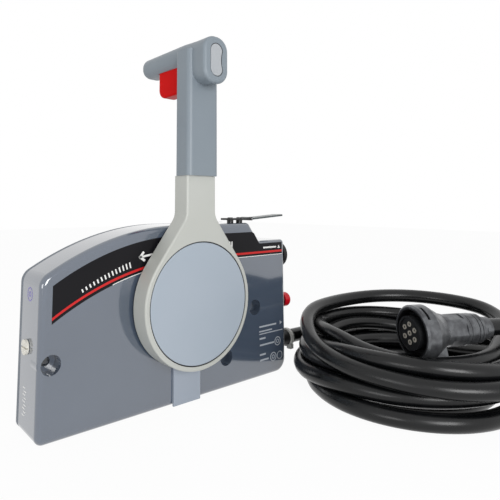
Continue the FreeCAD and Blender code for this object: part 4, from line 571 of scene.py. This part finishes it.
    def build(self) -> None:
        """Prints the band, its lines and every sign."""
        self.strip("decal_band", INK_BLACK, self.band_start, self.band_end,
                   (self.foot, self.top), 0)
        self.strip("decal_red_line", INK_RED, self.band_start, self.band_end,
                   (self.above_foot(self.red_from), self.above_foot(self.red_to)), 1)
        self.strip("decal_pale_line", INK_WHITE, self.pale_start, self.band_end,
                   (self.foot, self.above_foot(self.pale_width)), 1)
        up, slope = self.along_band(self.arrow_tip, self.arrow_above)
        self.marks("decal_arrow", INK_WHITE,
                   self.arrow(self.arrow_tip, up, slope + self.arrow_dip), 1)
        self.marks("decal_scale", INK_WHITE, self.throttle_scale(), 1)
        self.marks("decal_idle_sign", INK_WHITE, IDLE_SIGN, 1)
        self.marks("switch_signs", INK_PALE, SWITCH_SIGNS)
        around = Matrix.Translation(Vector((self.fore_end - self.face, 0, 0)) * MM)
        to_end = around @ Matrix.Rotation(math.radians(-90), 4, "Z")
        self.marks("end_ticks", INK_WHITE, END_TICKS, 0, to_end)
        self.marks("end_sticker", INK_VIOLET, END_STICKER, 0, to_end)


@dataclass
class Shadows:
    """Painted shade: dark linings for the shade deep in the gaps round the hub cap and end plate,
    and in the seven sockets.
    """

    cap_height: float = 86.0
    cap_radius: float = 50.3
    recess_radius: float = 51.0
    round_sides: int = 120
    groove_front: float = -41.9
    groove_back: float = -40.1
    plate_height: float = 291.0
    plate_half: float = 6.3
    plate_tall: float = 7.7
    plate_hollow: float = 1.3
    plate_gap: float = 0.6
    plate_clear: float = 0.05
    plate_front: float = -62.2
    plate_back: float = -60.4
    mouth: Point = (128.3, -158.0, 63.4)
    yaw: float = -25.25
    socket_ring: float = 7.2
    outer_sockets: int = 6
    bore_radius: float = 1.05
    bore_sides: int = 24
    bore_depths: Spot = (-1.5, 5.0)

    def plate_outline(self, gap: float) -> list[Spot]:
        """Outline of the end plate, widened by a gap: round ends and a slightly hollow right side.

        Args:
            gap: Distance to the plate in millimetres.

        Returns:
            Places across and up, in millimetres.
        """
        half, tall, hollow = self.plate_half + gap, self.plate_tall, self.plate_hollow
        places: list[Spot] = []
        for middle, degrees in ((self.plate_height + tall, range(0, 181, 10)),
                                (self.plate_height - tall, range(180, 361, 10))):
            for angle in map(math.radians, degrees):
                places.append((half * math.cos(angle), middle + half * math.sin(angle)))
        radius = (tall ** 2 + hollow ** 2) / (2 * hollow)
        for i in range(1, 10):
            up = tall * (i / 5 - 1)
            across = half - hollow + radius - math.sqrt(radius ** 2 - up ** 2)
            places.append((across, self.plate_height + up))
        return places

    def round_outline(self, radius: float) -> list[Spot]:
        """Circle about the hub's axis, as places across and up in millimetres."""
        turns = [2 * math.pi * i / self.round_sides for i in range(self.round_sides)]
        return [(radius * math.cos(a), self.cap_height + radius * math.sin(a)) for a in turns]

    @staticmethod
    def groove(name: str, inner: list[Spot], outer: list[Spot], front: float,
               back: float) -> None:
        """Lines a closed gap in the front of the lever with black, as painted shade.

        Args:
            name: Name of the lining.
            inner: Places of its inner edge, across and up in millimetres.
            outer: As many places of its outer edge.
            front: Where it starts along Y, in millimetres.
            back: Where it ends.
        """
        mesh = bmesh.new()
        edges = []
        for outline in (inner, outer):
            loop = [mesh.verts.new((across * MM, front * MM, up * MM)) for across, up in outline]
            edges += [mesh.edges.new((loop[i - 1], loop[i])) for i in range(len(loop))]
        bmesh.ops.bridge_loops(mesh, edges=edges)
        thicken(mesh, back - front)
        bmesh.ops.recalc_face_normals(mesh, faces=mesh.faces)
        # The black lining paints the shade deep in the narrow gap.
        add_piece(name, mesh, BLACK_NYLON_AND_SHADE, Body.LEVER)

    def grooves(self) -> None:
        """Lines the gaps round the hub cap and the end plate with painted shade."""
        self.groove("cap_gap_painted_shade", self.round_outline(self.cap_radius),
                    self.round_outline(self.recess_radius), self.groove_front, self.groove_back)
        self.groove("end_plate_gap_painted_shade", self.plate_outline(self.plate_clear),
                    self.plate_outline(self.plate_gap - self.plate_clear),
                    self.plate_front, self.plate_back)

    def socket_bore_shade(self) -> None:
        """Fills each socket's bore with a dark pin of painted shade, a little back from its rim."""
        turn = math.radians(self.yaw)
        way = Vector((math.cos(turn), math.sin(turn), 0))
        up = Vector((0, 0, 1))
        axes = Matrix((up.cross(way), up, way)).transposed().to_4x4()
        seat = Matrix.Translation(Vector(self.mouth) * MM) @ axes
        start, end = self.bore_depths
        spots = [Vector((0, 0, (start + end) / 2))]
        for i in range(self.outer_sockets):
            angle = 2 * math.pi * i / self.outer_sockets + math.pi / 2
            spots.append(Vector((self.socket_ring * math.cos(angle),
                                 self.socket_ring * math.sin(angle), (start + end) / 2)))
        mesh = bmesh.new()
        for spot in spots:
            bmesh.ops.create_cone(mesh, cap_ends=True, segments=self.bore_sides,
                                  radius1=self.bore_radius * MM, radius2=self.bore_radius * MM,
                                  depth=(end - start) * MM,
                                  matrix=seat @ Matrix.Translation(spot * MM))
        # The black pins paint the shade inside the sockets' bores.
        add_piece("socket_bore_shade", mesh, BLACK_NYLON_AND_SHADE, Body.HOUSING)

    def build(self) -> None:
        """Adds every lining of painted shade."""
        self.grooves()
        self.socket_bore_shade()


@dataclass(frozen=True)
class Turn:
    """One loose turn of the coil: a circle that tips towards the right and the far side."""

    across: float
    along: float
    radius: float
    height: float
    tip_right: float = 0.0
    tip_far: float = 0.0

    def at(self, angle: float) -> np.ndarray:
        """Point of the turn at an angle in radians, in millimetres."""
        right, far = math.cos(angle), math.sin(angle)
        return np.array([self.across + self.radius * right, self.along + self.radius * far,
                         self.height + self.tip_right * right + self.tip_far * far])


@dataclass
class Harness:
    """Five metres of sleeved harness in loose turns, from the boot to the round connector."""

    diameter: float = 14.0
    length_m: float = 5.0
    lead: tuple[Point, ...] = ((150, -7.5, 27), (172, -7.5, 27), (194, -13, 26))
    tail: tuple[Point, ...] = ((298.7, -149.0, 35), (289.9, -174.5, 44), (271.5, -194.2, 52),
                               (246.7, -203.4, 59), (217.8, -200.2, 63.4), (195.2, -189.6, 63.4))
    turns: tuple[Turn, ...] = (
        Turn(199, -118, 103, 26),
        Turn(188, -116, 94.5, 23, 1, -2),
        Turn(173, -128.2, 85.5, 7),
        Turn(182, -120, 70, 7),
        Turn(188, -119, 72, 21),
        Turn(191.5, -118.5, 94, 33, 1.5, -4),
        Turn(193.5, -123.3, 92.6, 36, -2.6, 1),
        Turn(197.2, -130, 101, 46.7, 13.6, 8.8),
        Turn(195.6, -112.2, 85.2, 41, 0.5, 3.6),
    )
    start_angle: float = 93.0
    end_angle: float = -10.0
    pass_from: float = -5.0
    pass_span: float = 75.0
    steps: int = 96
    kept: int = 4
    rounds: int = 220
    clearance: float = 0.3
    shove: float = 0.3
    fade: float = 0.995
    near_run: int = 19
    held_run: float = 16.0
    run_points: int = 6

    def wound(self) -> np.ndarray:
        """Lays the turns one after another, each passing into the next on the right.

        Returns:
            Points of the turns, in millimetres.
        """
        sweep = self.start_angle - self.end_angle + 360 * (len(self.turns) - 1)
        count = round(sweep / 360 * self.steps)
        points = []
        for i in range(1, count):
            angle = self.start_angle - sweep * i / count
            turned = (self.pass_from - angle) / 360
            index = int(math.floor(turned))
            share = min((turned - index) * 360 / self.pass_span, 1.0)
            share = share * share * (3 - 2 * share)
            before = self.turns[max(index, 0)]
            after = self.turns[min(index + 1, len(self.turns) - 1)]
            radians = math.radians(angle)
            points.append(before.at(radians) * (1 - share) + after.at(radians) * share)
        return np.array(points)

    def push(self, points: np.ndarray, others: np.ndarray, counted: np.ndarray) -> np.ndarray:
        """Shift that takes points out of the cord round other points.

        Args:
            points: Points to shift, in millimetres.
            others: Points that they must clear by a diameter.
            counted: Mask of the pairs that count.

        Returns:
            The shift of each point.
        """
        gap = points[:, None] - others[None, :]
        apart = np.linalg.norm(gap, axis=2) + TINY
        deep = np.where(counted, np.clip(self.diameter + self.clearance - apart, 0, None), 0)
        return (gap * (deep / apart)[:, :, None]).sum(axis=1)

    def settled(self, wound: np.ndarray) -> np.ndarray:
        """Pushes turns apart until they lie beside and on each other, and on the floor.

        Each round evens out the shifts along the cord, and the two ends give way last.

        Args:
            wound: Points of the turns, in millimetres.

        Returns:
            The same points, a diameter apart and no lower than the floor allows.
        """
        fixed = np.array([np.linspace(a, b, self.run_points) for run in (self.lead, self.tail)
                          for a, b in zip(run, run[1:])]).reshape(-1, 3)
        points = wound.copy()
        order = np.arange(len(points))
        far_along = np.abs(order[:, None] - order[None, :]) > self.near_run
        every = np.ones((len(points), len(fixed)), dtype=bool)
        hold = 1 - np.clip(np.minimum(order, order[::-1])[:, None] / self.held_run, 0, 1)
        for _ in range(self.rounds):
            moved = points - wound
            moved[1:-1] = 0.5 * moved[1:-1] + 0.25 * (moved[:-2] + moved[2:])
            moved *= self.fade * (1 - hold / 2)
            points = wound + moved
            points = points + self.shove * self.push(points, points, far_along)
            points = points + self.shove * self.push(points, fixed, every) * (1 - hold)
            points[:, 2] = np.maximum(points[:, 2], self.diameter / 2)
        return points

    def build(self) -> None:
        coil = self.settled(self.wound())[self.kept // 2::self.kept]
        route = [Vector(p) for p in (*self.lead, *coil.tolist(), *self.tail)]
        curve = bpy.data.curves.new("harness_cord", "CURVE")
        curve.dimensions = "3D"
        spline = curve.splines.new("NURBS")
        spline.points.add(len(route) - 1)
        for point, place in zip(spline.points, route):
            point.co = (*(place * MM), 1.0)
        spline.order_u = 3
        spline.use_endpoint_u = True
        spline.resolution_u = 6
        curve.bevel_depth = self.diameter / 2 * MM
        curve.bevel_resolution = 6
        curve.use_fill_caps = True
        piece = bpy.data.objects.new("harness_cord", curve)
        bpy.context.scene.collection.objects.link(piece)
        curve.materials.append(CABLE_VINYL.material())
        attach(piece, Body.HOUSING.value)
        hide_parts("harness_lead", "harness_coil", "harness_tail")
        log.info("harness of %d points", len(route))


@dataclass(frozen=True)
class SoftLamp:
    """Square soft lamp, its place, aim and width in metres and its power in watts."""

    name: str
    place: Point
    aim: Point
    side: float
    watts: float


@dataclass
class Studio:
    """Pale floor, soft lamps and the camera of the photograph."""

    eye: Point = (-257.2, -368.2, 168.5)
    turn: float = 39.54
    rise: float = 5.67
    focal_px: float = 481.4
    centre_px: Spot = (212.3, 156.5)
    image_px: float = 500.0
    sensor_mm: float = 36.0
    floor_side: float = 6.0
    floor_colour: str = "#fafafa"
    floor_glow: float = 0.95
    sky_light: float = 0.56
    lamps: tuple[SoftLamp, ...] = (
        SoftLamp("key_lamp", (-0.28, -0.95, 0.32), (0, 0, 0.14), 0.4, 4.5),
        SoftLamp("side_lamp", (-0.9, -0.35, 0.1), (-0.05, 0, 0.08), 0.4, 1.8),
    )

    def camera(self) -> None:
        """Puts the camera where the photograph was taken from."""
        data = bpy.data.cameras.new("camera")
        data.sensor_width = self.sensor_mm
        data.lens = self.focal_px / self.image_px * self.sensor_mm
        half = self.image_px / 2
        data.shift_x = (half - self.centre_px[0]) / self.image_px
        data.shift_y = (self.centre_px[1] - half) / self.image_px
        camera = bpy.data.objects.new("camera", data)
        camera.location = Vector(self.eye) * MM
        camera.rotation_euler = (math.radians(90 + self.rise), 0, math.radians(-self.turn))
        bpy.context.scene.collection.objects.link(camera)
        bpy.context.scene.camera = camera

    def seen_white(self, tree: bpy.types.NodeTree) -> bpy.types.NodeSocket:
        """Adds a switch for rays from the camera, mirrors and clear pieces.

        Args:
            tree: Node tree that takes the switch.

        Returns:
            1 for such rays, 0 for all others.
        """
        rays = add_node(tree, "ShaderNodeLightPath").outputs
        first = add_node(tree, "ShaderNodeMath",
                         {0: rays["Is Camera Ray"], 1: rays["Is Glossy Ray"]},
                         operation="MAXIMUM").outputs[0]
        return add_node(tree, "ShaderNodeMath", {0: first, 1: rays["Is Transmission Ray"]},
                        operation="MAXIMUM").outputs[0]

    def floor(self) -> None:
        """Lays the pale floor, which keeps the object's soft shadow."""
        mesh = bmesh.new()
        bmesh.ops.create_grid(mesh, x_segments=1, y_segments=1, size=self.floor_side / 2)
        data = bpy.data.meshes.new("floor")
        mesh.to_mesh(data)
        mesh.free()
        floor = bpy.data.objects.new("floor", data)
        bpy.context.scene.collection.objects.link(floor)
        material = bpy.data.materials.new("floor_paper")
        material.use_nodes = True
        tree = material.node_tree
        tree.nodes.clear()
        paper = add_node(tree, "ShaderNodeBsdfDiffuse", {"Color": linear(self.floor_colour)})
        glow = add_node(tree, "ShaderNodeEmission", {"Color": (1, 1, 1, 1), "Strength": 1.0})
        share = add_node(tree, "ShaderNodeMath", {0: self.seen_white(tree), 1: self.floor_glow},
                         operation="MULTIPLY").outputs[0]
        mixed = add_node(tree, "ShaderNodeMixShader",
                         {0: share, 1: paper.outputs[0], 2: glow.outputs[0]})
        add_node(tree, "ShaderNodeOutputMaterial", {"Surface": mixed.outputs[0]})
        data.materials.append(material)

    def sky(self) -> None:
        """Sets even soft light all round, seen as white."""
        world = bpy.data.worlds.new("studio")
        bpy.context.scene.world = world
        world.use_nodes = True
        tree = world.node_tree
        tree.nodes.clear()
        soft, white = (add_node(tree, "ShaderNodeBackground",
                                {"Color": (1, 1, 1, 1), "Strength": strength}).outputs[0]
                       for strength in (self.sky_light, 1.0))
        mixed = add_node(tree, "ShaderNodeMixShader",
                         {0: self.seen_white(tree), 1: soft, 2: white})
        add_node(tree, "ShaderNodeOutputWorld", {"Surface": mixed.outputs[0]})

    def hang_lamps(self) -> None:
        """Hangs the soft lamps, each turned to its aim."""
        for lamp in self.lamps:
            data = bpy.data.lights.new(lamp.name, "AREA")
            data.shape = "SQUARE"
            data.size = lamp.side
            data.energy = lamp.watts
            hung = bpy.data.objects.new(lamp.name, data)
            hung.location = lamp.place
            way = Vector(lamp.aim) - Vector(lamp.place)
            hung.rotation_euler = way.to_track_quat("-Z", "Y").to_euler()
            bpy.context.scene.collection.objects.link(hung)

    def build(self) -> None:
        """Sets up camera, floor, sky and lamps."""
        self.camera()
        self.floor()
        self.sky()
        self.hang_lamps()
        bpy.context.scene.view_settings.view_transform = "Standard"


def main() -> None:
    """Builds the looks in order."""
    logging.basicConfig(level=logging.INFO, format="%(name)s: %(message)s")
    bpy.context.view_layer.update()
    dress_nodes()
    Printing().build()
    Shadows().build()
    Harness().build()
    Studio().build()


if __name__ == "__main__":
    main()
